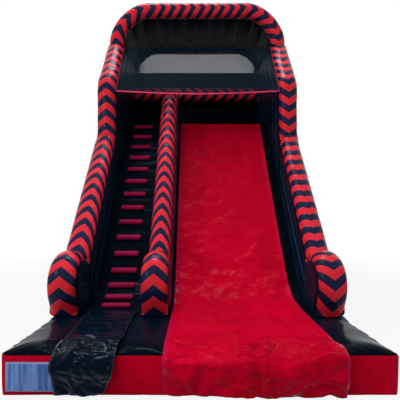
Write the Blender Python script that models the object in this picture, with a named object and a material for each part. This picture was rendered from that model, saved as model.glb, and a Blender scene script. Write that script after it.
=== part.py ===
"""Inflatable slide: a climbing lane and a wide slide lane side by side under an arched hood.

Metres, +Z up. X runs across the slide and +Y to its rear. The origin is the middle of the
underside of the base. In outlines, "depth" is measured back from the base's front face.
Pressurised chambers are skins with air ports between them, so none of them is sealed.
"""

import math

import bmesh
import bpy
from mathutils import Matrix, Vector

# Clearances and stand-in thicknesses
GAP = 0.0003
SKIN = 0.010
SHEET_THICKNESS = 0.008
PORT_RADIUS = 0.09
PORT_REACH = 0.05
PORT_SIDES = 12
EDGE_SEGMENTS = 3

# Base mattress
WIDTH = 3.66
BASE_HEIGHT = 0.41
BASE_EDGE = 0.045

# Side walls and divider, as depths and heights
RUNOUT_LENGTH = 1.10
WALL = 0.305
WALL_EDGE = 0.10
SCROLL_RADIUS = 0.42
SCROLL_TOP = 1.24
SCROLL_LENGTH = 0.73
SCROLL_WIDTH = 0.35
SCROLL_FOOT_TURN = math.radians(27)
SCROLL_STEPS = 12
SLOPE_LENGTH = 1.81
SLOPE_START_HEIGHT = 1.18
SLOPE_END_HEIGHT = 3.20
POST_TOP = 4.19
LEAN_LENGTH = 0.885
HOOD_FOOT = 5.25
TOWER_LENGTH = 3.01

# Lanes
DECK_HEIGHT = 3.65
DECK_LENGTH = 1.50
DECK_THICKNESS = 0.45
BED_THICKNESS = 0.60
LANE_FOOT = 1.62
LANE_FILLET = 0.91
LANE_FILLET_STEPS = 9
DIVIDER_CENTRE = -0.55
DIVIDER_WIDTH = 0.30
DIVIDER_SCROLL_WIDTH = 0.33
DIVIDER_KNEE_BACK = 0.62
DIVIDER_KNEE_HEIGHT = 4.12
DIVIDER_SHOULDER_BACK = 0.30
DIVIDER_SHOULDER_HEIGHT = 4.36
DIVIDER_TOP = 4.43

# Step bars
STEP_COUNT = 15
STEP_WIDTH = 0.40
STEP_SHIFT = -0.02
STEP_FIRST = 0.17
STEP_LAST = 0.065
STEP_DEPTH = 0.11
STEP_CROWN = 0.06
STEP_SIDES = 6
STEP_END = 0.035
STEP_END_SIZE = 0.55

# Hood
TUBE_RADIUS = 0.152
ARCH_RISE = 0.90
ARCH_CORNER = 0.80
ARCH_CORNER_STEPS = 7
ROOF_THICKNESS = 0.15
SILL_HEIGHT = 5.33
CROSS_TUBE_RADIUS = 0.165
CROSS_TUBE_HEIGHT = 4.70
CROSS_TUBE_SIDES = 14

# Nets
NET_STRAND = 0.012
NET_LOW = 4.02
NET_SETBACK = 0.06
NET_SAG = 0.07
NET_COLUMNS = 20
NET_ROWS = 9
BINDING_RADIUS = 0.012
WINDOW_COLUMNS = 16
WINDOW_ROWS = 4
WINDOW_SIDE = 0.08

# Sliding sheet and climbing mat
SHEET_WIDTH = 1.68
SHEET_SIDE = 0.055
SHEET_OVER_DECK = 0.16
SHEET_COLUMNS = 12
MAT_WIDTH = 0.60
MAT_SHIFT = 0.055
MAT_START = 0.08
MAT_COLUMNS = 10
DRAPE_BULGE = 0.125
DRAPE_HEIGHT = 0.31
DRAPE_HEM = 0.014
DRAPE_FALL_STEPS = 5
DRAPE_LIP_STEPS = 4
RUNOUT_STEPS = 5
FOLD_DEPTH = 0.03
SHEET_FOLDS = 2.6
MAT_FOLDS = 1.6

# Sign patch, bare
PATCH_WIDTH = 0.50
PATCH_HEIGHT = 0.27
PATCH_THICKNESS = 0.003
PATCH_SIDE = 0.035
PATCH_LOW = 0.045

# Inflation sleeve
SLEEVE_RADIUS = 0.150
SLEEVE_WALL = 0.012
SLEEVE_LENGTH = 0.55
SLEEVE_SHIFT = 1.05
SLEEVE_HEIGHT = 0.195
SLEEVE_SIDES = 32
STRAP_WIDTH = 0.030
STRAP_THICKNESS = 0.004
STRAP_BACK = 0.09
BUCKLE_LENGTH = 0.045
BUCKLE_HEIGHT = 0.008

# Deflation zips, one by each rear corner
ZIP_SHIFT = 0.85
ZIP_ABOVE_BASE = 0.37
ZIP_LENGTH = 0.60
ZIP_TAPE_HEIGHT = 0.075
ZIP_TAPE_THICKNESS = 0.003
ZIP_TEETH_HEIGHT = 0.010
ZIP_TEETH_DEPTH = 0.004
ZIP_SLIDER_LENGTH = 0.032
ZIP_SLIDER_HEIGHT = 0.020
ZIP_SLIDER_THICKNESS = 0.003
ZIP_PULL_HEIGHT = 0.014
ZIP_STOP = 0.020
WELT_HEIGHT = 0.012
WELT_DEPTH = 0.020
FLAP_HEIGHT = 0.115
FLAP_THICKNESS = 0.003
FLAP_STEPS = 6

# Anchor points: a webbing patch with a loop, and a D-ring hanging in it
ANCHOR_DEPTHS = (0.35, 2.95, 6.25)
ANCHOR_PIVOT = 0.150
ANCHOR_PATCH_WIDTH = 0.130
ANCHOR_PATCH_HEIGHT = 0.110
ANCHOR_PATCH_THICKNESS = 0.005
LOOP_WIDTH = 0.050
LOOP_RADIUS = 0.010
LOOP_BEDDING = 0.002
LOOP_SIDES = 16
RING_WIRE = 0.004
RING_WIDTH = 0.066
RING_DROP = 0.052
RING_CLEARANCE = 0.0004
RING_SIDES = 12

# Worked out from the sizes above
SCROLL_END = RUNOUT_LENGTH + SCROLL_LENGTH
POST_DEPTH = SCROLL_END + SLOPE_LENGTH
LENGTH = POST_DEPTH + TOWER_LENGTH
HALF = WIDTH / 2
INNER = HALF - WALL
REAR_INNER = LENGTH - WALL
DECK_EDGE = REAR_INNER - DECK_LENGTH
LEAN_TOP = POST_DEPTH + LEAN_LENGTH
ARCH_TOP = HOOD_FOOT + ARCH_RISE
FRONT_ARCH_DEPTH = LEAN_TOP + TUBE_RADIUS
REAR_ARCH_DEPTH = LENGTH - TUBE_RADIUS
LANE_SLOPE = (DECK_HEIGHT - BASE_HEIGHT) / (DECK_EDGE - LANE_FOOT - LANE_FILLET / 2)
DIVIDER_LOW = DIVIDER_CENTRE - DIVIDER_WIDTH / 2
DIVIDER_HIGH = DIVIDER_CENTRE + DIVIDER_WIDTH / 2
SIDE_BULGE = (SCROLL_WIDTH - WALL) / 2
DIVIDER_BULGE = (DIVIDER_SCROLL_WIDTH - DIVIDER_WIDTH) / 2


def clear_scene():
    for obj in list(bpy.data.objects):
        bpy.data.objects.remove(obj, do_unlink=True)


def make_material(name, colour, roughness, metallic=0.0):
    material = bpy.data.materials.new(name)
    material.use_nodes = True
    shader = material.node_tree.nodes["Principled BSDF"]
    shader.inputs["Base Color"].default_value = (*colour, 1.0)
    shader.inputs["Roughness"].default_value = roughness
    shader.inputs["Metallic"].default_value = metallic
    material.diffuse_color = (*colour, 1.0)
    return material


def place(depth, height, across=0.0):
    """A point from its depth behind the base's front face, its height and its place across."""
    return Vector((across, depth - LENGTH / 2, height))


def finish(name, bm, material, smooth=True):
    """Turns a bmesh into a named object with outward faces."""
    bmesh.ops.recalc_face_normals(bm, faces=bm.faces)
    mesh = bpy.data.meshes.new(name)
    bm.to_mesh(mesh)
    bm.free()
    obj = bpy.data.objects.new(name, mesh)
    bpy.context.collection.objects.link(obj)
    if smooth:
        mesh.shade_smooth()
        mesh.set_sharp_from_angle(angle=math.radians(35))
    obj.data.materials.append(material)
    return obj


def prism(bm, outline, low, high):
    """Extrudes a depth and height outline from x = low to x = high; returns the two rings."""
    near = [bm.verts.new(place(d, z, low)) for d, z in outline]
    far = [bm.verts.new(place(d, z, high)) for d, z in outline]
    bm.faces.new(near)
    bm.faces.new(reversed(far))
    count = len(outline)
    for i in range(count):
        j = (i + 1) % count
        bm.faces.new((near[j], near[i], far[i], far[j]))
    return near, far


def round_edges(bm, edges, radius):
    bmesh.ops.bevel(
        bm,
        geom=edges,
        offset=radius,
        segments=EDGE_SEGMENTS,
        profile=0.5,
        affect="EDGES",
    )


def soft_slab(name, outline, low, high, soft, material):
    """A panel whose outline sides listed in soft have rounded edges towards both faces."""
    bm = bmesh.new()
    rings = prism(bm, outline, low, high)
    count = len(outline)
    edges = [
        bm.edges.get((ring[i], ring[(i + 1) % count])) for ring in rings for i in soft
    ]
    round_edges(bm, edges, WALL_EDGE)
    return finish(name, bm, material)


def box(bm, low, high):
    """Adds an axis-aligned box between two corners."""
    middle = (low + high) / 2
    size = high - low
    bmesh.ops.create_cube(bm, size=1.0, matrix=Matrix.LocRotScale(middle, None, size))


def rod(bm, radius, start, end, sides):
    """Adds a solid cylinder between two points."""
    run = end - start
    turn = run.to_track_quat("Z", "Y")
    bmesh.ops.create_cone(
        bm,
        cap_ends=True,
        segments=sides,
        radius1=radius,
        radius2=radius,
        depth=run.length,
        matrix=Matrix.LocRotScale((start + end) / 2, turn, None),
    )


def cutter(name, bm, material):
    obj = finish(name, bm, material, smooth=False)
    obj.hide_render = True
    obj.display_type = "WIRE"
    return obj


def combine(obj, other, operation):
    modifier = obj.modifiers.new(other.name, "BOOLEAN")
    modifier.operation = operation
    modifier.object = other
    modifier.solver = "EXACT"


def hollow(obj, ports):
    """Makes a chamber a skin, and opens the air ports that it shares with its neighbours."""
    shell = obj.modifiers.new("skin", "SOLIDIFY")
    shell.thickness = SKIN
    shell.offset = -1.0
    shell.use_even_offset = True
    for port in ports:
        combine(obj, port, "DIFFERENCE")


def air_port(name, centre, along, material):
    """A round opening through two skins that touch at the centre."""
    reach = along * PORT_REACH
    bm = bmesh.new()
    rod(bm, PORT_RADIUS, centre - reach, centre + reach, PORT_SIDES)
    return cutter(name, bm, material)


def lane_depths():
    """Depths along a lane's surface: the hollow of the foot, then the straight slope."""
    fillet = [
        LANE_FOOT + LANE_FILLET * i / LANE_FILLET_STEPS
        for i in range(LANE_FILLET_STEPS + 1)
    ]
    return fillet + [DECK_EDGE]


def lane_curve(depth):
    past = min(max(depth - LANE_FOOT, 0.0), LANE_FILLET)
    rest = max(depth - LANE_FOOT - LANE_FILLET, 0.0)
    return BASE_HEIGHT + LANE_SLOPE * (past * past / (2 * LANE_FILLET) + rest)


def lane_height(depth):
    """Height of the bed's faceted surface at a depth."""
    depths = lane_depths()
    for before, after in zip(depths, depths[1:]):
        if before <= depth <= after:
            share = (depth - before) / (after - before)
            low = lane_curve(before)
            return low + share * (lane_curve(after) - low)
    return BASE_HEIGHT if depth < LANE_FOOT else DECK_HEIGHT


def make_base(materials, ports):
    bm = bmesh.new()
    box(bm, place(0, 0, -HALF), place(LENGTH, BASE_HEIGHT, HALF))
    top = [e for e in bm.edges if all(v.co.z > BASE_HEIGHT / 2 for v in e.verts)]
    round_edges(bm, top, BASE_EDGE)
    obj = finish("base", bm, materials["red"])
    obj.data.materials.append(materials["black"])
    for face in obj.data.polygons:
        face.material_index = int(face.normal.z > 0.5)
    hollow(obj, ports)


def scroll_outline():
    """Side view of a wall's front end: a flat back, a round top and a drawn-in foot."""
    middle = RUNOUT_LENGTH + SCROLL_RADIUS
    height = SCROLL_TOP - SCROLL_RADIUS
    back = SCROLL_END - GAP
    first = math.acos((back - middle) / SCROLL_RADIUS)
    last = math.pi + SCROLL_FOOT_TURN
    points = [(back, BASE_HEIGHT + GAP)]
    for i in range(SCROLL_STEPS + 1):
        turn = first + (last - first) * i / SCROLL_STEPS
        points.append(
            (
                middle + SCROLL_RADIUS * math.cos(turn),
                height + SCROLL_RADIUS * math.sin(turn),
            )
        )
    toe_depth, toe_height = points[-1]
    run = (toe_height - BASE_HEIGHT) * math.tan(SCROLL_FOOT_TURN)
    points.append((toe_depth + run, BASE_HEIGHT + GAP))
    return points


def make_scroll(name, centre, width, material):
    outline = scroll_outline()
    soft = range(1, len(outline) - 1)
    low = centre - width / 2
    high = centre + width / 2
    soft_slab(name, outline, low, high, soft, material)


def make_slope_wall(name, low, high, material, ports):
    foot = BASE_HEIGHT + GAP
    back = POST_DEPTH - GAP
    outline = [
        (SCROLL_END, foot),
        (back, foot),
        (back, SLOPE_END_HEIGHT),
        (SCROLL_END, SLOPE_START_HEIGHT),
    ]
    obj = soft_slab(name, outline, low, high, (2,), material)
    hollow(obj, ports)


def make_tower_wall(name, low, high, material, ports):
    foot = BASE_HEIGHT + GAP
    outline = [
        (POST_DEPTH, foot),
        (LENGTH, foot),
        (LENGTH, HOOD_FOOT),
        (LEAN_TOP, HOOD_FOOT),
        (POST_DEPTH, POST_TOP),
    ]
    obj = soft_slab(name, outline, low, high, (3, 4), material)
    hollow(obj, ports)


def make_divider(material, ports):
    foot = BASE_HEIGHT + GAP
    back = DECK_EDGE - GAP
    outline = [
        (SCROLL_END, foot),
        (back, foot),
        (back, DIVIDER_TOP),
        (back - DIVIDER_SHOULDER_BACK, DIVIDER_SHOULDER_HEIGHT),
        (back - DIVIDER_KNEE_BACK, DIVIDER_KNEE_HEIGHT),
        (SCROLL_END, SLOPE_START_HEIGHT),
    ]
    soft = (2, 3, 4)
    obj = soft_slab("divider_wall", outline, DIVIDER_LOW, DIVIDER_HIGH, soft, material)
    hollow(obj, ports)


def make_rear_wall(material, ports):
    outline = [
        (REAR_INNER, BASE_HEIGHT + GAP),
        (LENGTH, BASE_HEIGHT + GAP),
        (LENGTH, SILL_HEIGHT),
        (REAR_INNER, SILL_HEIGHT),
    ]
    bm = bmesh.new()
    near, far = prism(bm, outline, -INNER + GAP, INNER - GAP)
    edges = [bm.edges.get((near[i], far[i])) for i in (2, 3)]
    round_edges(bm, edges, WALL_EDGE)
    obj = finish("rear_wall", bm, material)
    hollow(obj, ports)


def make_deck(material, ports):
    bm = bmesh.new()
    low = place(DECK_EDGE, DECK_HEIGHT - DECK_THICKNESS, -INNER + GAP)
    high = place(REAR_INNER - GAP, DECK_HEIGHT, INNER - GAP)
    box(bm, low, high)
    obj = finish("platform_deck", bm, material)
    hollow(obj, ports)


def make_bed(name, low, high, material):
    """A sloping panel with a hollowed foot, seated on the base and against the deck."""
    top = [(d, lane_curve(d)) for d in lane_depths()]
    edge_depth, edge_height = top[-1]
    top[0] = (LANE_FOOT, BASE_HEIGHT + GAP)
    top[-1] = (edge_depth - GAP, edge_height)
    under = edge_height - BED_THICKNESS
    under_foot = edge_depth - (under - BASE_HEIGHT) / LANE_SLOPE
    top.append((edge_depth - GAP, under))
    top.append((under_foot, BASE_HEIGHT + GAP))
    bm = bmesh.new()
    prism(bm, top, low + GAP, high - GAP)
    finish(name, bm, material)


def make_step(number, material):
    """A padded bar: crowned, with drawn-in ends, its flat side on the climbing bed."""
    first = LANE_FOOT + STEP_FIRST
    last = DECK_EDGE - STEP_LAST
    depth = first + (last - first) * number / (STEP_COUNT - 1)
    steepness = LANE_SLOPE * min(1.0, (depth - LANE_FOOT) / LANE_FILLET)
    half = STEP_DEPTH / 2 / math.hypot(1, steepness)
    low = place(depth - half, lane_height(depth - half))
    high = place(depth + half, lane_height(depth + half))
    along = (high - low).normalized()
    away = Vector((0, -along.z, along.y))
    middle = (low + high) / 2 + away * 2 * GAP
    centre = (-INNER + DIVIDER_LOW) / 2 + STEP_SHIFT
    ends = (
        (-STEP_WIDTH / 2, STEP_END_SIZE),
        (-STEP_WIDTH / 2 + STEP_END, 1.0),
        (STEP_WIDTH / 2 - STEP_END, 1.0),
        (STEP_WIDTH / 2, STEP_END_SIZE),
    )
    bm = bmesh.new()
    rings = []
    for across, size in ends:
        ring = []
        for i in range(STEP_SIDES + 1):
            turn = math.pi * i / STEP_SIDES
            sideways = along * (math.cos(turn) * STEP_DEPTH / 2 * size)
            proud = away * (math.sin(turn) * STEP_CROWN * size)
            point = middle + sideways + proud
            point.x = centre + across
            ring.append(bm.verts.new(point))
        rings.append(ring)
    bm.faces.new(rings[0])
    bm.faces.new(rings[-1])
    for before, after in zip(rings, rings[1:]):
        count = len(before)
        for i in range(count):
            j = (i + 1) % count
            bm.faces.new((before[i], before[j], after[j], after[i]))
    finish(f"step_{number + 1:02d}", bm, material)


def arch_profile(inset, foot):
    """Half-hoop in the XZ plane, drawn in from the outer outline by an inset."""
    corner = ARCH_CORNER - inset
    side = HALF - inset
    turn_height = ARCH_TOP - ARCH_CORNER
    points = [(-side, foot)]
    for i in range(ARCH_CORNER_STEPS + 1):
        turn = math.pi / 2 * i / ARCH_CORNER_STEPS
        points.append(
            (
                -HALF + ARCH_CORNER - corner * math.cos(turn),
                turn_height + corner * math.sin(turn),
            )
        )
    points += [(-x, z) for x, z in reversed(points)]
    return points


def tube(name, points, radius, material, resolution=2, closed=False):
    """A round tube along straight pieces through the points."""
    curve = bpy.data.curves.new(name, "CURVE")
    curve.dimensions = "3D"
    curve.bevel_depth = radius
    curve.bevel_resolution = resolution
    curve.use_fill_caps = not closed
    spline = curve.splines.new("POLY")
    spline.points.add(len(points) - 1)
    for point, co in zip(spline.points, points):
        point.co = (*co, 1.0)
    spline.use_cyclic_u = closed
    obj = bpy.data.objects.new(name, curve)
    bpy.context.collection.objects.link(obj)
    obj.data.materials.append(material)
    return obj


def make_arch(name, depth, material):
    points = [
        place(depth, z, x) for x, z in arch_profile(TUBE_RADIUS, HOOD_FOOT + GAP)
    ]
    tube(name, points, TUBE_RADIUS, material, resolution=3)


def make_roof(material):
    """The vault between the arch tubes, on the towers' tops."""
    middle = TUBE_RADIUS
    outer = arch_profile(middle - ROOF_THICKNESS / 2, HOOD_FOOT + GAP)
    inner = arch_profile(middle + ROOF_THICKNESS / 2, HOOD_FOOT + GAP)
    front = FRONT_ARCH_DEPTH + TUBE_RADIUS + GAP
    rear = REAR_ARCH_DEPTH - TUBE_RADIUS - GAP
    bm = bmesh.new()
    rows = []
    for depth in (front, rear):
        for profile in (outer, inner):
            rows.append([bm.verts.new(place(depth, z, x)) for x, z in profile])
    front_out, front_in, rear_out, rear_in = rows
    for a, b in (
        (front_out, front_in),
        (front_in, rear_in),
        (rear_in, rear_out),
        (rear_out, front_out),
    ):
        for i in range(len(a) - 1):
            bm.faces.new((a[i], a[i + 1], b[i + 1], b[i]))
    for i in (0, -1):
        bm.faces.new((front_out[i], front_in[i], rear_in[i], rear_out[i]))
    finish("hood_roof", bm, material)


def make_cross_tube(material):
    depth = REAR_INNER - CROSS_TUBE_RADIUS - GAP
    reach = INNER - 2 * GAP
    bm = bmesh.new()
    rod(
        bm,
        CROSS_TUBE_RADIUS,
        place(depth, CROSS_TUBE_HEIGHT, -reach),
        place(depth, CROSS_TUBE_HEIGHT, reach),
        CROSS_TUBE_SIDES,
    )
    finish("cross_tube", bm, material)


def net(name, points, columns, rows, material):
    """Square mesh of strands over a grid of points, rows from the lower edge up."""
    bm = bmesh.new()
    grid = [
        [bm.verts.new(points(c / columns, r / rows)) for c in range(columns + 1)]
        for r in range(rows + 1)
    ]
    for below, above in zip(grid, grid[1:]):
        for c in range(columns):
            bm.faces.new((below[c], below[c + 1], above[c + 1], above[c]))
    obj = finish(name, bm, material)
    strands = obj.modifiers.new("strands", "WIREFRAME")
    strands.thickness = NET_STRAND
    strands.use_even_offset = True
    strands.use_boundary = True
    strands.use_relative_offset = False
    return obj


def front_net_point(across, up):
    """A point of the front net, which leans back with the posts and sags between them."""
    reach = INNER - NET_STRAND / 2 - GAP
    x = -reach + 2 * reach * across
    low = NET_LOW - NET_SAG * math.sin(math.pi * across) * (1 - up) ** 2
    high = HOOD_FOOT - NET_SETBACK
    z = low + (high - low) * up
    share = (z - NET_LOW) / (high - NET_LOW)
    depth = POST_DEPTH + NET_SETBACK + share * LEAN_LENGTH
    return place(depth, z, x)


def edge_binding(name, up, side, material):
    """A bound tape edge beside the net's lower or upper edge."""
    slope = Vector((0, LEAN_LENGTH, HOOD_FOOT - NET_SETBACK - NET_LOW)).normalized()
    shift = slope * side * (NET_STRAND / 2 + BINDING_RADIUS + GAP)
    points = [
        front_net_point(i / NET_COLUMNS, up) + shift for i in range(NET_COLUMNS + 1)
    ]
    tube(name, points, BINDING_RADIUS, material, resolution=1)


def window_point(across, up):
    """A point of the rear window's net, under the rear arch's inner outline."""
    reach = INNER - WINDOW_SIDE
    x = -reach + 2 * reach * across
    corner = ARCH_CORNER - 2 * TUBE_RADIUS
    into = max(abs(x) - (HALF - ARCH_CORNER), 0.0)
    crown = ARCH_TOP - ARCH_CORNER + math.sqrt(corner**2 - into**2)
    low = SILL_HEIGHT + NET_STRAND / 2 + GAP
    high = crown - 2 * NET_STRAND
    return place(REAR_ARCH_DEPTH, low + (high - low) * up, x)


def sheet(name, rows, low, high, columns, folds, material):
    """A cloth laid over rows of (depth, height, drape) points, with folds where it hangs."""
    bm = bmesh.new()
    under = []
    over = []
    count = len(rows)
    for i, (depth, height, drape) in enumerate(rows):
        before = rows[max(i - 1, 0)]
        after = rows[min(i + 1, count - 1)]
        run = Vector((0, after[0] - before[0], after[1] - before[1])).normalized()
        away = Vector((0, -run.z, run.y))
        lower = []
        upper = []
        for c in range(columns + 1):
            share = c / columns
            swell = drape * FOLD_DEPTH * math.sin(math.pi * folds * share) ** 2
            base = place(depth, height, low + (high - low) * share)
            lower.append(bm.verts.new(base + away * (swell + 2 * GAP)))
            upper.append(bm.verts.new(base + away * (swell + 2 * GAP + SHEET_THICKNESS)))
        under.append(lower)
        over.append(upper)
    for grid in (under, over):
        for near, far in zip(grid, grid[1:]):
            for c in range(columns):
                bm.faces.new((near[c], near[c + 1], far[c + 1], far[c]))
    for i in (0, -1):
        for c in range(columns):
            bm.faces.new((under[i][c], under[i][c + 1], over[i][c + 1], over[i][c]))
    for c in (0, -1):
        for i in range(count - 1):
            bm.faces.new((under[i][c], under[i + 1][c], over[i + 1][c], over[i][c]))
    return finish(name, bm, material)


def front_drape():
    """Rows from the hem up: out to a lip before the base, then back onto its top edge."""
    rows = []
    hem = -SHEET_THICKNESS
    for i in range(DRAPE_FALL_STEPS):
        share = i / DRAPE_FALL_STEPS
        swing = (1 - math.cos(math.pi * share)) / 2
        depth = hem - (DRAPE_BULGE + hem) * swing
        height = DRAPE_HEM + (DRAPE_HEIGHT - DRAPE_HEM) * share
        rows.append((depth, height, (1 + share) / 2))
    for i in range(DRAPE_LIP_STEPS):
        turn = math.pi / 2 * i / DRAPE_LIP_STEPS
        depth = BASE_EDGE - (DRAPE_BULGE + BASE_EDGE) * math.cos(turn)
        height = DRAPE_HEIGHT + (BASE_HEIGHT - DRAPE_HEIGHT) * math.sin(turn)
        rows.append((depth, height, math.cos(turn)))
    return rows


def runout_rows(start):
    """Rows over the base's top, from its front edge back to a given depth."""
    front = BASE_EDGE
    return [
        (front + (start - front) * i / RUNOUT_STEPS, BASE_HEIGHT, 0.0)
        for i in range(RUNOUT_STEPS + 1)
    ]


def make_slide_sheet(material):
    rows = front_drape() + runout_rows(LANE_FOOT)
    rows += [(d, lane_curve(d), 0.0) for d in lane_depths()[1:]]
    rows.append((DECK_EDGE + SHEET_OVER_DECK, DECK_HEIGHT, 0.0))
    low = DIVIDER_HIGH + SHEET_SIDE
    sheet(
        "slide_sheet",
        rows,
        low,
        low + SHEET_WIDTH,
        SHEET_COLUMNS,
        SHEET_FOLDS,
        material,
    )


def make_climbing_mat(material):
    rows = front_drape() + runout_rows(LANE_FOOT - MAT_START)
    centre = (-INNER + DIVIDER_LOW) / 2 + MAT_SHIFT
    sheet(
        "climbing_mat",
        rows,
        centre - MAT_WIDTH / 2,
        centre + MAT_WIDTH / 2,
        MAT_COLUMNS,
        MAT_FOLDS,
        material,
    )


def make_sign_patch(material):
    bm = bmesh.new()
    low = place(-PATCH_THICKNESS - GAP, PATCH_LOW, -HALF + PATCH_SIDE)
    high = place(-GAP, PATCH_LOW + PATCH_HEIGHT, -HALF + PATCH_SIDE + PATCH_WIDTH)
    box(bm, low, high)
    finish("sign_patch", bm, material)


def make_sleeve(sleeve_material, strap_material, metal):
    """The tube that a blower's nozzle is tied into, and its tie strap with a buckle."""
    start = LENGTH + GAP
    end = start + SLEEVE_LENGTH
    bore_radius = SLEEVE_RADIUS - SLEEVE_WALL
    bm = bmesh.new()
    rod(
        bm,
        SLEEVE_RADIUS,
        place(start, SLEEVE_HEIGHT, SLEEVE_SHIFT),
        place(end, SLEEVE_HEIGHT, SLEEVE_SHIFT),
        SLEEVE_SIDES,
    )
    body = finish("inflation_sleeve", bm, sleeve_material)
    bm = bmesh.new()
    rod(
        bm,
        bore_radius,
        place(start - PORT_REACH, SLEEVE_HEIGHT, SLEEVE_SHIFT),
        place(end + PORT_REACH, SLEEVE_HEIGHT, SLEEVE_SHIFT),
        SLEEVE_SIDES,
    )
    bore = cutter("sleeve_bore", bm, sleeve_material)
    combine(body, bore, "DIFFERENCE")

    strap_start = end - STRAP_BACK
    strap_end = strap_start + STRAP_WIDTH
    bm = bmesh.new()
    rod(
        bm,
        SLEEVE_RADIUS + GAP + STRAP_THICKNESS,
        place(strap_start, SLEEVE_HEIGHT, SLEEVE_SHIFT),
        place(strap_end, SLEEVE_HEIGHT, SLEEVE_SHIFT),
        SLEEVE_SIDES,
    )
    strap = finish("sleeve_strap", bm, strap_material)
    bm = bmesh.new()
    buckle_top = SLEEVE_HEIGHT + SLEEVE_RADIUS + STRAP_THICKNESS + BUCKLE_HEIGHT
    box(
        bm,
        place(strap_start, SLEEVE_HEIGHT + SLEEVE_RADIUS, SLEEVE_SHIFT - BUCKLE_LENGTH / 2),
        place(strap_end, buckle_top, SLEEVE_SHIFT + BUCKLE_LENGTH / 2),
    )
    buckle = cutter("strap_buckle", bm, metal)
    combine(strap, buckle, "UNION")
    bm = bmesh.new()
    rod(
        bm,
        SLEEVE_RADIUS + GAP,
        place(strap_start - PORT_REACH, SLEEVE_HEIGHT, SLEEVE_SHIFT),
        place(strap_end + PORT_REACH, SLEEVE_HEIGHT, SLEEVE_SHIFT),
        SLEEVE_SIDES,
    )
    hole = cutter("strap_hole", bm, strap_material)
    combine(strap, hole, "DIFFERENCE")
    return bore


def make_zip(side, centre, tape_material, metal, flap_material):
    """A tape with a row of teeth and a welt, a slider on the teeth and a hinged flap."""
    origin = place(LENGTH + GAP, BASE_HEIGHT + ZIP_ABOVE_BASE, centre)
    half = ZIP_LENGTH / 2
    top = ZIP_TAPE_HEIGHT / 2
    teeth = ZIP_TEETH_HEIGHT / 2
    tape_face = ZIP_TAPE_THICKNESS
    bm = bmesh.new()
    outline = [
        (0, -top),
        (tape_face, -top),
        (tape_face, -teeth),
        (tape_face + ZIP_TEETH_DEPTH, -teeth),
        (tape_face + ZIP_TEETH_DEPTH, teeth),
        (tape_face, teeth),
        (tape_face, top - WELT_HEIGHT),
        (WELT_DEPTH, top - WELT_HEIGHT),
        (WELT_DEPTH, top),
        (0, top),
    ]
    extrude_along_x(bm, outline, origin, -half, half)
    finish(f"zip_{side}_track", bm, tape_material)

    bm = bmesh.new()
    inner = teeth + GAP
    outer = ZIP_SLIDER_HEIGHT / 2
    rest = tape_face + GAP
    cover = tape_face + ZIP_TEETH_DEPTH + GAP
    face = cover + ZIP_SLIDER_THICKNESS
    pull = face + ZIP_SLIDER_THICKNESS
    grip = ZIP_PULL_HEIGHT / 2
    outline = [
        (rest, -outer),
        (face, -outer),
        (face, -grip),
        (pull, -grip),
        (pull, grip),
        (face, grip),
        (face, outer),
        (rest, outer),
        (rest, inner),
        (cover, inner),
        (cover, -inner),
        (rest, -inner),
    ]
    start = -half + ZIP_STOP
    extrude_along_x(bm, outline, origin, start, start + ZIP_SLIDER_LENGTH)
    finish(f"zip_{side}_slider", bm, metal)

    bm = bmesh.new()
    radius = FLAP_THICKNESS / 2
    out, fold = flap_hinge()
    outline = [(out + radius, fold - FLAP_HEIGHT), (out - radius, fold - FLAP_HEIGHT)]
    for i in range(FLAP_STEPS + 1):
        turn = math.pi - math.pi * i / FLAP_STEPS
        outline.append((out + radius * math.cos(turn), fold + radius * math.sin(turn)))
    extrude_along_x(bm, outline, origin, -half, half)
    finish(f"zip_{side}_flap", bm, flap_material)


def flap_hinge():
    """The flap's fold line from the zip's middle: out from the rear face, and up."""
    radius = FLAP_THICKNESS / 2
    return (WELT_DEPTH + GAP, ZIP_TAPE_HEIGHT / 2 - WELT_HEIGHT - radius - GAP)


def extrude_along_x(bm, outline, origin, low, high):
    """Extrudes an outline of (outwards, upwards) offsets from the rear face."""
    near = [bm.verts.new(origin + Vector((low, out, up))) for out, up in outline]
    far = [bm.verts.new(origin + Vector((high, out, up))) for out, up in outline]
    bm.faces.new(near)
    bm.faces.new(reversed(far))
    count = len(outline)
    for i in range(count):
        j = (i + 1) % count
        bm.faces.new((near[j], near[i], far[i], far[j]))


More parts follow.
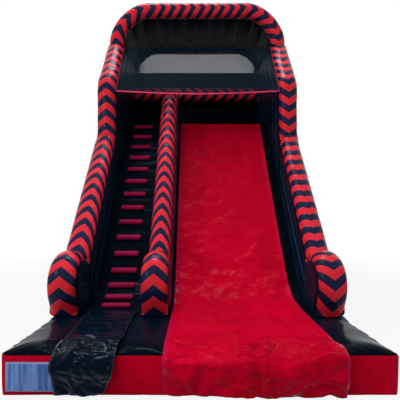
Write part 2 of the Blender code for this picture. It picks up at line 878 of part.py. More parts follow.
def make_anchor(name, side, depth, webbing, metal):
    """side is -1 for the left face of the base and 1 for the right one."""
    pivot_out = ANCHOR_PATCH_THICKNESS + LOOP_RADIUS
    pivot = place(depth, ANCHOR_PIVOT, side * (HALF + GAP + pivot_out))
    along = Vector((0, 1, 0))
    half_loop = LOOP_WIDTH / 2

    bm = bmesh.new()
    face_near = side * (HALF + GAP)
    face_far = face_near + side * (ANCHOR_PATCH_THICKNESS + LOOP_BEDDING)
    low_z = ANCHOR_PIVOT - LOOP_RADIUS
    half_patch = ANCHOR_PATCH_WIDTH / 2
    patch_top = low_z + ANCHOR_PATCH_HEIGHT
    box(
        bm,
        place(depth - half_patch, low_z, min(face_near, face_far)),
        place(depth + half_patch, patch_top, max(face_near, face_far)),
    )
    patch = finish(f"anchor_{name}_patch", bm, webbing)
    bm = bmesh.new()
    rod(bm, LOOP_RADIUS, pivot - along * half_loop, pivot + along * half_loop, LOOP_SIDES)
    loop = cutter(f"anchor_{name}_loop", bm, webbing)
    combine(patch, loop, "UNION")
    bm = bmesh.new()
    eye = (RING_WIRE + RING_CLEARANCE) / math.cos(math.pi / LOOP_SIDES)
    rod(bm, eye, pivot - along * LOOP_WIDTH, pivot + along * LOOP_WIDTH, LOOP_SIDES)
    hole = cutter(f"anchor_{name}_hole", bm, webbing)
    combine(patch, hole, "DIFFERENCE")

    half = RING_WIDTH / 2
    points = [pivot + along * (half - RING_WIRE)]
    for i in range(RING_SIDES + 1):
        turn = math.pi * i / RING_SIDES
        sideways = along * (math.cos(turn) * half)
        down = Vector((0, 0, -RING_WIRE - math.sin(turn) * RING_DROP))
        points.append(pivot + sideways + down)
    points.append(pivot - along * (half - RING_WIRE))
    tube(f"anchor_{name}_ring", points, RING_WIRE, metal, resolution=2, closed=True)


def main():
    clear_scene()
    materials = {
        "red": make_material("red_vinyl", (0.45, 0.005, 0.02), 0.30),
        "black": make_material("black_vinyl", (0.006, 0.008, 0.014), 0.22),
        "chevron": make_material("chevron_vinyl", (0.70, 0.03, 0.035), 0.28),
        "step": make_material("crimson_vinyl", (0.30, 0.01, 0.05), 0.35),
        "sheet": make_material("slide_sheet_vinyl", (0.50, 0.004, 0.02), 0.25),
        "net": make_material("net_cord", (0.01, 0.012, 0.02), 0.70),
        "binding": make_material("red_binding", (0.50, 0.02, 0.05), 0.55),
        "patch": make_material("pale_patch", (0.27, 0.31, 0.48), 0.40),
        "webbing": make_material("black_webbing", (0.01, 0.01, 0.012), 0.75),
        "metal": make_material("zinc_steel", (0.60, 0.61, 0.63), 0.35, 1.0),
    }
    red = materials["red"]
    black = materials["black"]
    chevron = materials["chevron"]

    up = Vector((0, 0, 1))
    back = Vector((0, 1, 0))
    wall_centre = HALF - WALL / 2
    slope_centre = SCROLL_END + SLOPE_LENGTH / 2
    tower_centre = POST_DEPTH + TOWER_LENGTH / 2
    rear_centre = LENGTH - WALL / 2

    def floor_port(name, depth, across):
        return air_port(name, place(depth, BASE_HEIGHT, across), up, red)

    slope_ports = [
        floor_port("port_left_slope", slope_centre, -wall_centre),
        floor_port("port_right_slope", slope_centre, wall_centre),
    ]
    tower_ports = [
        floor_port("port_left_tower", tower_centre, -wall_centre),
        floor_port("port_right_tower", tower_centre, wall_centre),
    ]
    divider_port = floor_port("port_divider", slope_centre, DIVIDER_CENTRE)
    rear_port = floor_port("port_rear", rear_centre, 0.0)
    deck_port = air_port(
        "port_deck",
        place(REAR_INNER, DECK_HEIGHT - DECK_THICKNESS / 2, 0.0),
        back,
        red,
    )

    sleeve_bore = make_sleeve(black, materials["webbing"], materials["metal"])
    base_ports = slope_ports + tower_ports + [divider_port, rear_port, sleeve_bore]
    make_base(materials, base_ports)

    for i, (side_name, side) in enumerate((("left", -1), ("right", 1))):
        low = min(side * HALF, side * INNER)
        high = max(side * HALF, side * INNER)
        make_scroll(f"{side_name}_scroll", side * wall_centre, SCROLL_WIDTH, chevron)
        make_slope_wall(f"{side_name}_slope_wall", low, high, black, [slope_ports[i]])
        make_tower_wall(f"{side_name}_tower_wall", low, high, black, [tower_ports[i]])
        make_zip(
            side_name,
            side * ZIP_SHIFT,
            materials["webbing"],
            materials["metal"],
            black,
        )
        for place_name, depth in zip(("front", "middle", "rear"), ANCHOR_DEPTHS):
            make_anchor(
                f"{side_name}_{place_name}",
                side,
                depth,
                materials["webbing"],
                materials["metal"],
            )

    make_scroll("divider_scroll", DIVIDER_CENTRE, DIVIDER_SCROLL_WIDTH, chevron)
    make_divider(black, [divider_port])
    make_rear_wall(black, [rear_port, deck_port])
    make_deck(black, [deck_port])
    make_bed("slide_bed", DIVIDER_HIGH + DIVIDER_BULGE, INNER - SIDE_BULGE, red)
    make_bed("climbing_bed", SIDE_BULGE - INNER, DIVIDER_LOW - DIVIDER_BULGE, black)
    for number in range(STEP_COUNT):
        make_step(number, materials["step"])

    make_arch("front_arch", FRONT_ARCH_DEPTH, chevron)
    make_arch("rear_arch", REAR_ARCH_DEPTH, chevron)
    make_roof(black)
    make_cross_tube(chevron)

    net("front_net", front_net_point, NET_COLUMNS, NET_ROWS, materials["net"])
    edge_binding("front_net_lower_binding", 0.0, -1, materials["binding"])
    edge_binding("front_net_upper_binding", 1.0, 1, materials["binding"])
    net("window_net", window_point, WINDOW_COLUMNS, WINDOW_ROWS, materials["net"])

    make_slide_sheet(materials["sheet"])
    make_climbing_mat(black)
    make_sign_patch(materials["patch"])


main()
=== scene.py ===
# %% [markdown]
# # An inflatable slide, dressed
#
# The real object is a land slide sewn from PVC-coated fabric and kept up by a blower: a
# base mattress, walls and hoops of air, a vinyl sliding sheet and nets. Its frame, with
# every piece at its real place, is loaded first, and each cell then makes one skin or
# finish over it. X runs across the slide, +Y to its rear, Z up, and all sizes are metres.

# %% Load the frame
import math

import bmesh
import bpy
import numpy as np
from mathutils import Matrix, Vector


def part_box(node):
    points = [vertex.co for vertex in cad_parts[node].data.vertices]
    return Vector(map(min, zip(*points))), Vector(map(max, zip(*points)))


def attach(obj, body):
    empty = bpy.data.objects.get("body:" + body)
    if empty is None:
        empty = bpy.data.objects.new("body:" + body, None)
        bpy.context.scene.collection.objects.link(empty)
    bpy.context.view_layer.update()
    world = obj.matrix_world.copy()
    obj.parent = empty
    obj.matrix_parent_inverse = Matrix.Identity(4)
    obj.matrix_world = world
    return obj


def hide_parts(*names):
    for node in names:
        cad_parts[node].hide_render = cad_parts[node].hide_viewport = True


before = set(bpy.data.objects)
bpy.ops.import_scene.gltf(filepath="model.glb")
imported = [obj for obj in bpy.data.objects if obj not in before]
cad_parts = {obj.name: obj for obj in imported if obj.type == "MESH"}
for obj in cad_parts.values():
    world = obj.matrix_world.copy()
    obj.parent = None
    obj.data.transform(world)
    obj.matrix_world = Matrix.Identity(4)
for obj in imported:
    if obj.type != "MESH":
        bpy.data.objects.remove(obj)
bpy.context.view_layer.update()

# %% [markdown]
# ## Measures taken from the frame
#
# A skin has to lie where its chamber is, so the main lines are read from the boxes of the
# chambers and not typed in. Only what a box can't tell, such as the height where a wall
# starts to lean, is written down here.

# %% Main lines
base_low, base_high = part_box("base")
slope_low, slope_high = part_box("left_slope_wall")
tower_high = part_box("left_tower_wall")[1]
scroll_low, scroll_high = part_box("left_scroll")
FRONT, REAR = base_low.y, base_high.y
FLOOR_TOP = base_high.z
HALF = base_high.x
WALL = slope_high.x - slope_low.x
INNER = HALF - WALL
SLOPE_FOOT, POST = slope_low.y, slope_high.y
SLOPE_START, SLOPE_END = 1.18, slope_high.z
POST_TOP = 4.19
HOOD_FOOT = tower_high.z
TUBE = 0.152
LEAN_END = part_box("front_arch")[0].y
WALL_MIDDLE = HALF - WALL / 2
print("slope wall:", SLOPE_FOOT, POST, SLOPE_END, "tower:", HOOD_FOOT, "lean ends at", LEAN_END)

# %% [markdown]
# ## The camera
#
# The picture was taken level, at eye height, a few paces before the slide, with a wide
# lens. A level camera keeps upright lines upright; the small shifts only slide the frame
# over the picture plane, as a view camera does.

# %% Place the camera
EYE_HEIGHT = 1.635
EYE_BEFORE_FRONT = 3.716
EYE_ACROSS = -0.0475


def add_object(name, data):
    """Puts a mesh, a camera or a lamp into the scene."""
    obj = bpy.data.objects.new(name, data)
    bpy.context.scene.collection.objects.link(obj)
    return obj


camera_data = bpy.data.cameras.new("camera")
camera_data.lens = 36.0
camera_data.sensor_width = 36.0
camera_data.shift_x = 0.0125
camera_data.shift_y = 0.0475
camera = add_object("camera", camera_data)
camera.location = (EYE_ACROSS, FRONT - EYE_BEFORE_FRONT, EYE_HEIGHT)
camera.rotation_euler = (math.radians(90), 0, 0)
bpy.context.scene.camera = camera
print("camera at", tuple(camera.location))

# %% [markdown]
# ## Building finishes from nodes
#
# A finish is a small network of nodes that ends in one shader. This helper keeps the
# making of a node, its settings and its links in one short call, so that each finish
# below reads as a list of what the eye sees: a colour that drifts, a gloss that wears, a
# weave that shows through. A network is any node tree, also the world's; a finish is a
# network with a surface shader at its end.

# %% The finish helper
NOISE_LOW, NOISE_HIGH = 0.3, 0.7


class Network:
    """A node tree under construction."""

    def __init__(self, tree):
        self.tree = tree

    def feed(self, socket, value):
        """Links an output to a socket, or sets the socket to a value."""
        if isinstance(value, bpy.types.NodeSocket):
            self.tree.links.new(value, socket)
        else:
            socket.default_value = value

    def node(self, kind, inputs, output=0, **settings):
        """Makes a node, feeds its inputs and returns one of its outputs."""
        made = self.tree.nodes.new(kind)
        for name, value in settings.items():
            setattr(made, name, value)
        for key, value in inputs.items():
            self.feed(made.inputs[key], value)
        return made.outputs[output]

    def math(self, operation, a, b=0.0, c=0.0):
        return self.node("ShaderNodeMath", {0: a, 1: b, 2: c}, operation=operation)

    def spread(self, value, low, high, to_low, to_high):
        """Stretches a value's range from low and high to two others."""
        inputs = {0: value, 1: low, 2: high, 3: to_low, 4: to_high}
        return self.node("ShaderNodeMapRange", inputs)

    def mix(self, share, a, b):
        """Blends two colours, each an RGB triple or a socket."""
        a, b = (c if isinstance(c, bpy.types.NodeSocket) else (*c, 1.0) for c in (a, b))
        inputs = {0: share, 6: a, 7: b}
        return self.node("ShaderNodeMix", inputs, 2, data_type="RGBA")


class Finish(Network):
    """A material under construction."""

    def __init__(self, name):
        self.material = bpy.data.materials.new(name)
        self.material.use_nodes = True
        super().__init__(self.material.node_tree)
        self.shader = self.tree.nodes["Principled BSDF"]
        self.place = self.node("ShaderNodeTexCoord", {}, "Object")

    def noise(self, scale, detail=3.0):
        """Cloudy variation from 0 to 1; the scale is in clouds a metre."""
        inputs = {"Vector": self.place, "Scale": scale, "Detail": detail}
        return self.node("ShaderNodeTexNoise", inputs)

    def drift(self, scale, low, high):
        """A value that wanders from low to high over the surface."""
        return self.spread(self.noise(scale), NOISE_LOW, NOISE_HIGH, low, high)

    def bump(self, height, distance, strength=1.0, normal=None):
        """A normal tilted by a height, over the normal from before."""
        inputs = {"Height": height, "Distance": distance, "Strength": strength}
        if normal:
            inputs["Normal"] = normal
        return self.node("ShaderNodeBump", inputs)

    def set(self, **values):
        """Feeds the shader's own sockets; an underscore in a name stands for a space."""
        for name, value in values.items():
            if isinstance(value, tuple):
                value = (*value, 1.0)
            self.feed(self.shader.inputs[name.replace("_", " ")], value)


print("node helpers ready")

# %% [markdown]
# ## Coated fabric
#
# Slide fabric is a polyester scrim between two layers of soft PVC. Close by, the scrim's
# threads print through the coating as a fine square grain; further off one sees slow
# changes of tone, scuffed patches that have lost their gloss and shallow wrinkles. A loose
# sheet is also creased into flat facets, for which the borders of random cells are drawn.
# All chambers share this recipe and differ in colour and gloss, so it is one function.

# %% Coated fabric
THREADS_PER_METRE = 420
GRAIN_DEPTH = 0.00004
SCUFFS_PER_METRE = 5.0
SCUFFED_LOW, SCUFFED_HIGH = 0.35, 0.70
TONES_PER_METRE = 1.6
HANGING_Y, LYING_Y = -3.2, -2.8
LYING_SHARE = 0.25
HAZE = (0.12, 0.45, 1.0)


def scrim_grain(finish):
    """The square grain of the woven scrim under the coating."""
    turn = 2 * math.pi * THREADS_PER_METRE
    parts = finish.node("ShaderNodeSeparateXYZ", {0: finish.place}, 0).node
    waves = [finish.math("SINE", finish.math("MULTIPLY", parts.outputs[i], turn)) for i in range(3)]
    return finish.math("ADD", finish.math("ADD", waves[0], waves[1]), waves[2])


def creased(finish, size, depth, normal):
    """Flat facets between sharp creases, deepest where the cloth hangs over the front."""
    inputs = {"Vector": finish.place, "Scale": 1.0 / size}
    cells = finish.node("ShaderNodeTexVoronoi", inputs, feature="DISTANCE_TO_EDGE")
    along = finish.node("ShaderNodeSeparateXYZ", {0: finish.place}, 1)
    strength = finish.spread(along, HANGING_Y, LYING_Y, 1.0, LYING_SHARE)
    return finish.bump(cells, depth, strength, normal)


def coated(finish, roughness, wrinkle_size, wrinkle_depth, creases=()):
    """Gives a finish its gloss, its wrinkles and creases and the grain of the scrim."""
    worn = finish.noise(SCUFFS_PER_METRE, 4.0)
    gloss = finish.spread(worn, SCUFFED_LOW, SCUFFED_HIGH, roughness * 0.75, roughness * 1.35)
    normal = finish.bump(finish.noise(1.0 / wrinkle_size), wrinkle_depth)
    for size, depth in creases:
        normal = creased(finish, size, depth, normal)
    normal = finish.bump(scrim_grain(finish), GRAIN_DEPTH, 0.35, normal)
    finish.set(Roughness=gloss, Normal=normal)


def vinyl(name, colours, roughness, shine, tint, wrinkle=(0.16, 0.004), haze=0.0, creases=()):
    """Coated fabric that drifts between two tones; haze is a bluish bloom seen at a slant.

    The wrinkle and each crease are a size across and a depth, in metres.
    """
    finish = Finish(name)
    tone = finish.mix(finish.drift(TONES_PER_METRE, 0.0, 1.0), *colours)
    finish.set(Base_Color=tone, Specular_IOR_Level=shine, Specular_Tint=tint)
    finish.set(Sheen_Weight=haze, Sheen_Roughness=0.45, Sheen_Tint=HAZE)
    coated(finish, roughness, *wrinkle, creases)
    return finish.material


print("recipe for coated fabric ready, with", THREADS_PER_METRE, "threads a metre")

# %% Plain vinyls
SKY_TINT = (0.25, 0.65, 1.0)
ROSE_TINT = (1.0, 0.14, 0.32)
MAT_TINT = (0.4, 0.66, 1.0)

BLACK = vinyl(
    "black_vinyl", ((0.0012, 0.0034, 0.0068), (0.0009, 0.0023, 0.0046)), 0.18, 0.018, SKY_TINT, haze=0.05
)
RED = vinyl("red_vinyl", ((0.60, 0.001, 0.022), (0.46, 0.001, 0.014)), 0.28, 0.03, ROSE_TINT)
SHEET_RED = vinyl(
    "sheet_vinyl", ((0.60, 0.001, 0.022), (0.46, 0.001, 0.016)), 0.24, 0.015, ROSE_TINT,
    creases=((0.32, 0.110), (0.13, 0.022)),
)
SHEET_HEM = vinyl("sheet_hem", ((0.52, 0.003, 0.045), (0.46, 0.002, 0.036)), 0.26, 0.05, ROSE_TINT)
MAT_BLACK = vinyl(
    "mat_vinyl", ((0.0007, 0.0036, 0.0088), (0.0005, 0.0022, 0.0056)), 0.13, 0.065, MAT_TINT,
    wrinkle=(0.06, 0.003), haze=0.05, creases=((0.13, 0.034),),
)
# The mat's hem is a real folded layer; its lighter, bluer colour is a painted highlight along the edges.
MAT_HEM_HIGHLIGHT = vinyl("mat_hem_painted_highlight", ((0.012, 0.016, 0.026), (0.008, 0.011, 0.018)), 0.25, 0.20, SKY_TINT)
# Real tape over the sewn lines, painted lighter and bluer than the black panels as a highlight along each
# seam.
SEAM_TAPE_HIGHLIGHT = vinyl("seam_tape_painted_highlight", ((0.020, 0.028, 0.046), (0.012, 0.018, 0.030)), 0.20, 0.20, SKY_TINT, haze=0.2)
STEP_RED = vinyl(
    "step_vinyl", ((0.36, 0.007, 0.060), (0.28, 0.005, 0.045)), 0.42, 0.05, ROSE_TINT,
    wrinkle=(0.05, 0.004),
)
PALE_BORDER = vinyl("pale_border", ((0.30, 0.31, 0.58), (0.24, 0.26, 0.54)), 0.35, 0.15, SKY_TINT)
print("plain vinyls made")

# %% [markdown]
# ## Chevron fabric
#
# The front strips of the walls and hoops are pieced from bands of red and navy-black
# vinyl, cut on the slant so that they meet in arrow points. The pattern follows the strip
# and not the room, so each strip mesh carries a map of two real lengths: how far a point
# lies from the strip's middle line, and how far along the strip it is. The finish adds a
# slanted share of the first to the second and asks on which side of the stripe it falls.

# %% Chevron fabric
CHEVRON_PERIOD = 0.2535
CHEVRON_SLANT = 0.75
CHEVRON_RED = (0.76, 0.024, 0.038)
CHEVRON_NAVY = (0.008, 0.013, 0.045)
BAND_EDGE = 0.25
EDGE_BLUR = 0.008
SEAM_SHARE = 0.035
SEAM_DEPTH = 0.003


def chevrons(name, red, navy, roughness):
    """Bands of two colours that meet in arrow points on the strip's middle line."""
    finish = Finish(name)
    strip = finish.node("ShaderNodeUVMap", {}, uv_map="strip")
    split = finish.node("ShaderNodeSeparateXYZ", {0: strip}).node
    across = finish.math("ABSOLUTE", split.outputs[0])
    lifted = finish.math("MULTIPLY_ADD", across, CHEVRON_SLANT, split.outputs[1])
    turn = finish.math("FRACT", finish.math("DIVIDE", lifted, CHEVRON_PERIOD))
    from_edge = finish.math("ABSOLUTE", finish.math("SUBTRACT", turn, 0.5))
    band = finish.spread(from_edge, BAND_EDGE - EDGE_BLUR, BAND_EDGE + EDGE_BLUR, 0.0, 1.0)
    shade = finish.mix(finish.drift(2.4, 0.80, 1.0), tuple(0.8 * c for c in red), red)
    finish.set(Base_Color=finish.mix(band, shade, navy), Specular_IOR_Level=0.07)
    coated(finish, roughness, wrinkle_size=0.12, wrinkle_depth=0.006)
    beside = finish.math("ABSOLUTE", finish.math("SUBTRACT", from_edge, BAND_EDGE))
    seam = finish.spread(beside, 0.0, SEAM_SHARE, 0.0, 1.0)
    under = finish.shader.inputs["Normal"].links[0].from_socket
    finish.set(Normal=finish.bump(seam, SEAM_DEPTH, 0.8, under))
    return finish.material


CHEVRON = chevrons("chevron_vinyl", CHEVRON_RED, CHEVRON_NAVY, 0.26)
print("chevron vinyl made, one band every", CHEVRON_PERIOD, "m")

# %% [markdown]
# ## Net cord, tape, webbing and metal
#
# The small finishes: knitted net cord is matt; the binding tape that edges a net and the
# webbing of an anchor are woven, with ribs across; the anchor rings are zinc-plated steel,
# slightly cloudy. Ribs are bands of a wave and clouds are noise.

# %% Small finishes
def woven(name, colours, ribs_per_metre, roughness, sheen=0.1):
    """Threads that cross: fine ribs, with the darker second colour in the grooves between them as painted
    shade.
    """
    colour, deep = colours
    finish = Finish(name)
    inputs = {"Vector": finish.place, "Scale": ribs_per_metre / (2 * math.pi), "Distortion": 0.4}
    ribs = finish.node("ShaderNodeTexWave", inputs, bands_direction="DIAGONAL")
    # The darker colour in the grooves between the ribs is painted shade.
    finish.set(
        Base_Color=finish.mix(ribs, deep, colour),
        Roughness=finish.drift(30.0, roughness - 0.08, roughness + 0.08),
        Normal=finish.bump(ribs, 0.0006),
    )
    finish.set(Sheen_Weight=sheen, Specular_IOR_Level=0.04)
    return finish.material


def plated(name):
    """Zinc over steel, in clouds of two greys and two glosses."""
    finish = Finish(name)
    clouds = finish.noise(60.0, 5.0)
    finish.set(
        Base_Color=finish.mix(clouds, (0.50, 0.51, 0.53), (0.66, 0.67, 0.68)),
        Roughness=finish.spread(clouds, NOISE_LOW, NOISE_HIGH, 0.28, 0.44),
        Metallic=1.0,
        Normal=finish.bump(clouds, 0.0002),
    )
    return finish.material


NET = woven("net_cord", ((0.003, 0.012, 0.024), (0.002, 0.008, 0.016)), 900, 0.75, sheen=0.0)
TAPE = woven("red_binding", ((0.66, 0.012, 0.085), (0.52, 0.008, 0.060)), 700, 0.55)
PIPING = woven("piping", ((0.24, 0.004, 0.030), (0.16, 0.003, 0.020)), 700, 0.55)
DARK_TAPE = woven("dark_binding", ((0.030, 0.002, 0.006), (0.012, 0.002, 0.004)), 700, 0.60, sheen=0.0)
WEBBING = woven("black_webbing", ((0.014, 0.015, 0.018), (0.007, 0.007, 0.009)), 600, 0.70)
THREAD = woven("thread", ((0.30, 0.30, 0.31), (0.20, 0.20, 0.21)), 2000, 0.60, sheen=0.0)
STEEL = plated("zinc_steel")
print("small finishes made")

# %% [markdown]
# ## Noise and folds for real geometry
#
# Wrinkles that change the outline have to be in the mesh, and a few fields are enough.
# Smooth noise gives soft swelling. Crushed vinyl is stiff and folds into flat facets, so
# random heights are joined over a net of triangles, and single folds are drawn as
# straight ridges from one place to another. Steps between two heights are softened.

# %% Fields for displacement
NOISE_CELLS = 64


def grid_of(*coordinates):
    """One array of points from coordinates that spread over the same rows and columns."""
    return np.stack(np.broadcast_arrays(*coordinates), -1)


def smooth_noise(points, size, seed):
    """Soft random field from -1 to 1 over an array of points with 1, 2 or 3 coordinates."""
    table = np.random.default_rng(seed).uniform(-1, 1, (NOISE_CELLS,) * 3)
    spots = np.zeros((*points.shape[:-1], 3))
    spots[..., : points.shape[-1]] = points / size
    cell = np.floor(spots).astype(int)
    share = spots - cell
    share = share * share * (3 - 2 * share)
    total = 0.0
    for corner in np.ndindex(2, 2, 2):
        weight = np.prod(np.where(corner, share, 1 - share), axis=-1)
        x, y, z = np.moveaxis((cell + corner) % NOISE_CELLS, -1, 0)
        total = total + weight * table[x, y, z]
    return total


def facets(points, size, seed):
    """Crumpled field from 0 to 1: flat triangles of about one size that meet in sharp creases."""
    table = np.random.default_rng(seed).uniform(0, 1, (NOISE_CELLS,) * 2)
    askew = np.stack([smooth_noise(points, size * 1.7, seed + k) for k in (1, 2)], -1)
    spots = points / size + 0.55 * askew
    spots = spots + spots.sum(-1, keepdims=True) * (math.sqrt(3) - 1) / 2
    cell = np.floor(spots).astype(int)
    share = spots - cell
    first, second = share.max(-1), share.min(-1)
    step = np.where((share[..., 0] > share[..., 1])[..., None], (1, 0), (0, 1))

    def corner(offset):
        i, j = np.moveaxis((cell + offset) % NOISE_CELLS, -1, 0)
        return table[i, j]

    return corner((0, 0)) * (1 - first) + corner(step) * (first - second) + corner((1, 1)) * second


print("fields from tables of", NOISE_CELLS, "random values a side")

# %% Folds, seams and steps
def crease(points, start, end, width):
    """A straight fold from start to end: 1 on its line, falling to 0 on flat sides."""
    along = np.subtract(end, start)
    length = math.hypot(*along)
    along = along / length
    offset = points - np.array(start)
    share = offset @ along / length
    across = np.abs(offset @ np.array((-along[1], along[0])))
    fade = np.clip((0.65 - np.abs(share - 0.5)) / 0.3, 0, 1)
    return fade * np.clip(1 - across / width, 0, 1)


def puckers(run, seed, size=0.034):
    """Gathers along a seam, 0 to 1, by the length run along it."""
    return 0.5 + 0.5 * smooth_noise(np.asarray(run)[..., None], size, seed)


def smooth_step(value, start, end):
    """0 before start, 1 after end, and a smooth rise between."""
    share = np.clip((value - start) / (end - start), 0, 1)
    return share * share * (3 - 2 * share)


def within(value, edge, blur):
    """1 where a value is below an edge and 0 above it, with a blurred change."""
    return 1 / (1 + np.exp((value - edge) / blur))


def hill(value, middle, width):
    """1 at a middle, falling softly to 0 on both sides."""
    return np.exp(-(((value - middle) / width) ** 2))


print("fields: creases, puckers, steps and hills")

# %% [markdown]
# ## From a grid of points to a closed skin
#
# Every chamber is a loft: rows of points, each row one slice through the chamber. The
# grid becomes quads, doubled points are welded and open ends are capped, so the result is
# a closed body. Points can first be pushed along the surface's own direction, which is
# worked out from their neighbours.

# %% Loft helpers
def length_along(line):
    """The length run along a line of points, at each of them."""
    return np.concatenate(((0,), np.cumsum(np.linalg.norm(np.diff(line, axis=0), axis=1))))


def unit(vectors):
    """The same directions, one metre long."""
    return vectors / np.linalg.norm(vectors, axis=-1, keepdims=True)


def bend(start, corner, end, share):
    """A smooth bend from start to end that its corner draws outwards."""
    return (1 - share) ** 2 * start + 2 * share * (1 - share) * corner + share**2 * end


def pushed(points, height):
    """Moves a grid's points outwards along its normals by a height field."""
    normal = np.cross(np.gradient(points, axis=1), np.gradient(points, axis=0))
    length = np.linalg.norm(normal, axis=-1, keepdims=True)
    return points + normal / np.maximum(length, 1e-9) * height[..., None]


def closed(top, under):
    """Sections that run out over a top face and back along the face under it."""
    return np.concatenate((top, under[:, ::-1], top[:, :1]), axis=1)


def grid_faces(rows, columns):
    """Four-cornered faces between the rows and columns of a grid of points."""
    corner = np.arange((rows - 1) * columns).reshape(rows - 1, columns)[:, :-1]
    return np.stack((corner, corner + 1, corner + columns + 1, corner + columns), -1).reshape(-1, 4)


def rounded_path(corners, cut=0.12, step=0.03):
    """Points every step along straight runs whose corners are cut off by smooth bends."""
    corners = np.array(corners, float)
    points = [corners[0]]
    for before, corner, after in zip(corners, corners[1:], corners[2:]):
        start = corner + unit(before - corner) * cut
        end = corner + unit(after - corner) * cut
        points += [bend(start, corner, end, share) for share in np.linspace(0, 1, 9)]
    points = np.array(points + [corners[-1]])
    run = length_along(points)
    spots = np.linspace(0, run[-1], max(2, round(run[-1] / step) + 1))
    return np.stack([np.interp(spots, run, points[:, i]) for i in range(points.shape[1])], -1)


print("loft helpers ready")

# %% From points to pieces
WELD = 1e-5


def skin(name, points, materials, maps=None, slots=0):
    """A mesh object from a grid of points. Slots choose a material for each column, row or face."""
    rows, columns = points.shape[:2]
    faces = grid_faces(rows, columns)
    mesh = bpy.data.meshes.new(name)
    mesh.from_pydata(points.reshape(-1, 3).tolist(), [], faces.tolist())
    for material in materials:
        mesh.materials.append(material)
    slots = np.broadcast_to(slots, (rows - 1, columns - 1))
    mesh.polygons.foreach_set("material_index", slots.astype(np.int32).ravel())
    for label, pairs in (maps or {}).items():
        layer = mesh.uv_layers.new(name=label)
        layer.data.foreach_set("uv", pairs.reshape(-1, 2)[faces.ravel()].astype(np.float32).ravel())
    mesh.update()
    bm = bmesh.new()
    bm.from_mesh(mesh)
    bmesh.ops.remove_doubles(bm, verts=bm.verts, dist=WELD)
    bmesh.ops.dissolve_degenerate(bm, edges=bm.edges, dist=WELD)
    bmesh.ops.holes_fill(bm, edges=[e for e in bm.edges if e.is_boundary])
    bmesh.ops.recalc_face_normals(bm, faces=bm.faces)
    bm.to_mesh(mesh)
    bm.free()
    mesh.shade_smooth()
    return add_object(name, mesh)


def plain_mesh(name, verts, faces, material):
    """A mesh object from lists of points and faces, in one finish."""
    mesh = bpy.data.meshes.new(name)
    mesh.from_pydata(verts, [], faces)
    mesh.materials.append(material)
    return add_object(name, mesh)


def dress(obj, slot, *nodes, body="slide", fill=None):
    """Makes a piece stand for its nodes and lets it ride on its body. The slot, a finish's name, is not
    used.
    """
    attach(obj, body)
    if nodes:
        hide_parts(*nodes)
    return obj


print("skins weld points closer than", WELD, "m")

# %% [markdown]
# ## The base mattress
#
# A low box of air: red side bands, and a glossy black top whose edge swells up behind the
# seam. Thread pulls the fabric together at the seam, so the swell is gathered into fine
# puckers. The front bulges between its corners, and the sides stay flat where the anchors
# are sewn on. The mesh is a stack of rectangles, each a little further in than the last,
# so that the gathers can be written as a field along the rim.

# %% Outline of the base
SEAM_DROP = 0.044
LEFT_SEAM = 0.6
CORNER_RADIUS = 0.016
SIDE_OUT = 0.018
SIDE_BULGE = 0.014
CORNER_STIFF = 0.22
RUNOUT_END = 1.40
RUNOUT_FADE = 0.35
SWELL_DEPTH = 0.36
PILLOWS = ((-1.80, -1.40), (-0.76, -0.35), (1.34, 1.80))
PILLOW_RISE = 0.034
PILLOW_CREST = 0.13
LENGTH = REAR - FRONT
MIDDLE_Y = (FRONT + REAR) / 2
FRONT_STEP, SIDE_STEP = 0.014, 0.030


def base_rim():
    """The base's outline in plan, once round, finer along the front."""
    side_x, side_y = HALF - CORNER_RADIUS, LENGTH / 2 - CORNER_RADIUS
    front = [(x, -LENGTH / 2) for x in np.arange(-side_x, side_x, FRONT_STEP)]
    right = [(HALF, y) for y in np.arange(-side_y, side_y, SIDE_STEP)]
    rear = [(-x, LENGTH / 2) for x, _ in front[::2]]
    left = [(-x, -y) for x, y in right]
    corners = ((side_x, -side_y), (side_x, side_y), (-side_x, side_y), (-side_x, -side_y))
    outline = []
    for number, (run, (x, y)) in enumerate(zip((front, right, rear, left), corners)):
        start = math.radians(number * 90 - 90)
        turns = [start + turn for turn in np.radians(np.arange(15, 90, 15))]
        outline += run
        outline += [(x + CORNER_RADIUS * math.cos(t), y + CORNER_RADIUS * math.sin(t)) for t in turns]
    return np.array(outline + outline[:1])


def seam_drop(y):
    """How far the seam lies below the top: nothing where a wall stands on the rim."""
    return SEAM_DROP * (1 - smooth_step(y - FRONT, RUNOUT_END - RUNOUT_FADE, RUNOUT_END))


def belly(x, share):
    """How far the upright front bulges: most half way up and away from the corners."""
    stiff = 1 - np.exp(-(HALF - np.abs(x)) / CORNER_STIFF)
    return SIDE_OUT + SIDE_BULGE * np.sin(math.pi * share) * stiff


def pillow_swell(x, depth):
    """Where no cloth holds it down, the top swells up behind the front seam."""
    swell = 0.0
    for left, right in PILLOWS:
        share = np.clip((x - left) / (right - left), 0, 1)
        swell = swell + np.sin(math.pi * share) ** 0.7
    reach = np.clip(depth / PILLOW_CREST, 0, None)
    return PILLOW_RISE * swell * reach * np.exp(1 - reach)


def swell_rise(inset):
    """The swell's profile behind the seam, 0 at the seam and 1 on the flat top."""
    return np.sqrt(1 - (1 - np.minimum(1.0, inset / SWELL_DEPTH)) ** 2)


print("base outline:", len(base_rim()), "points")

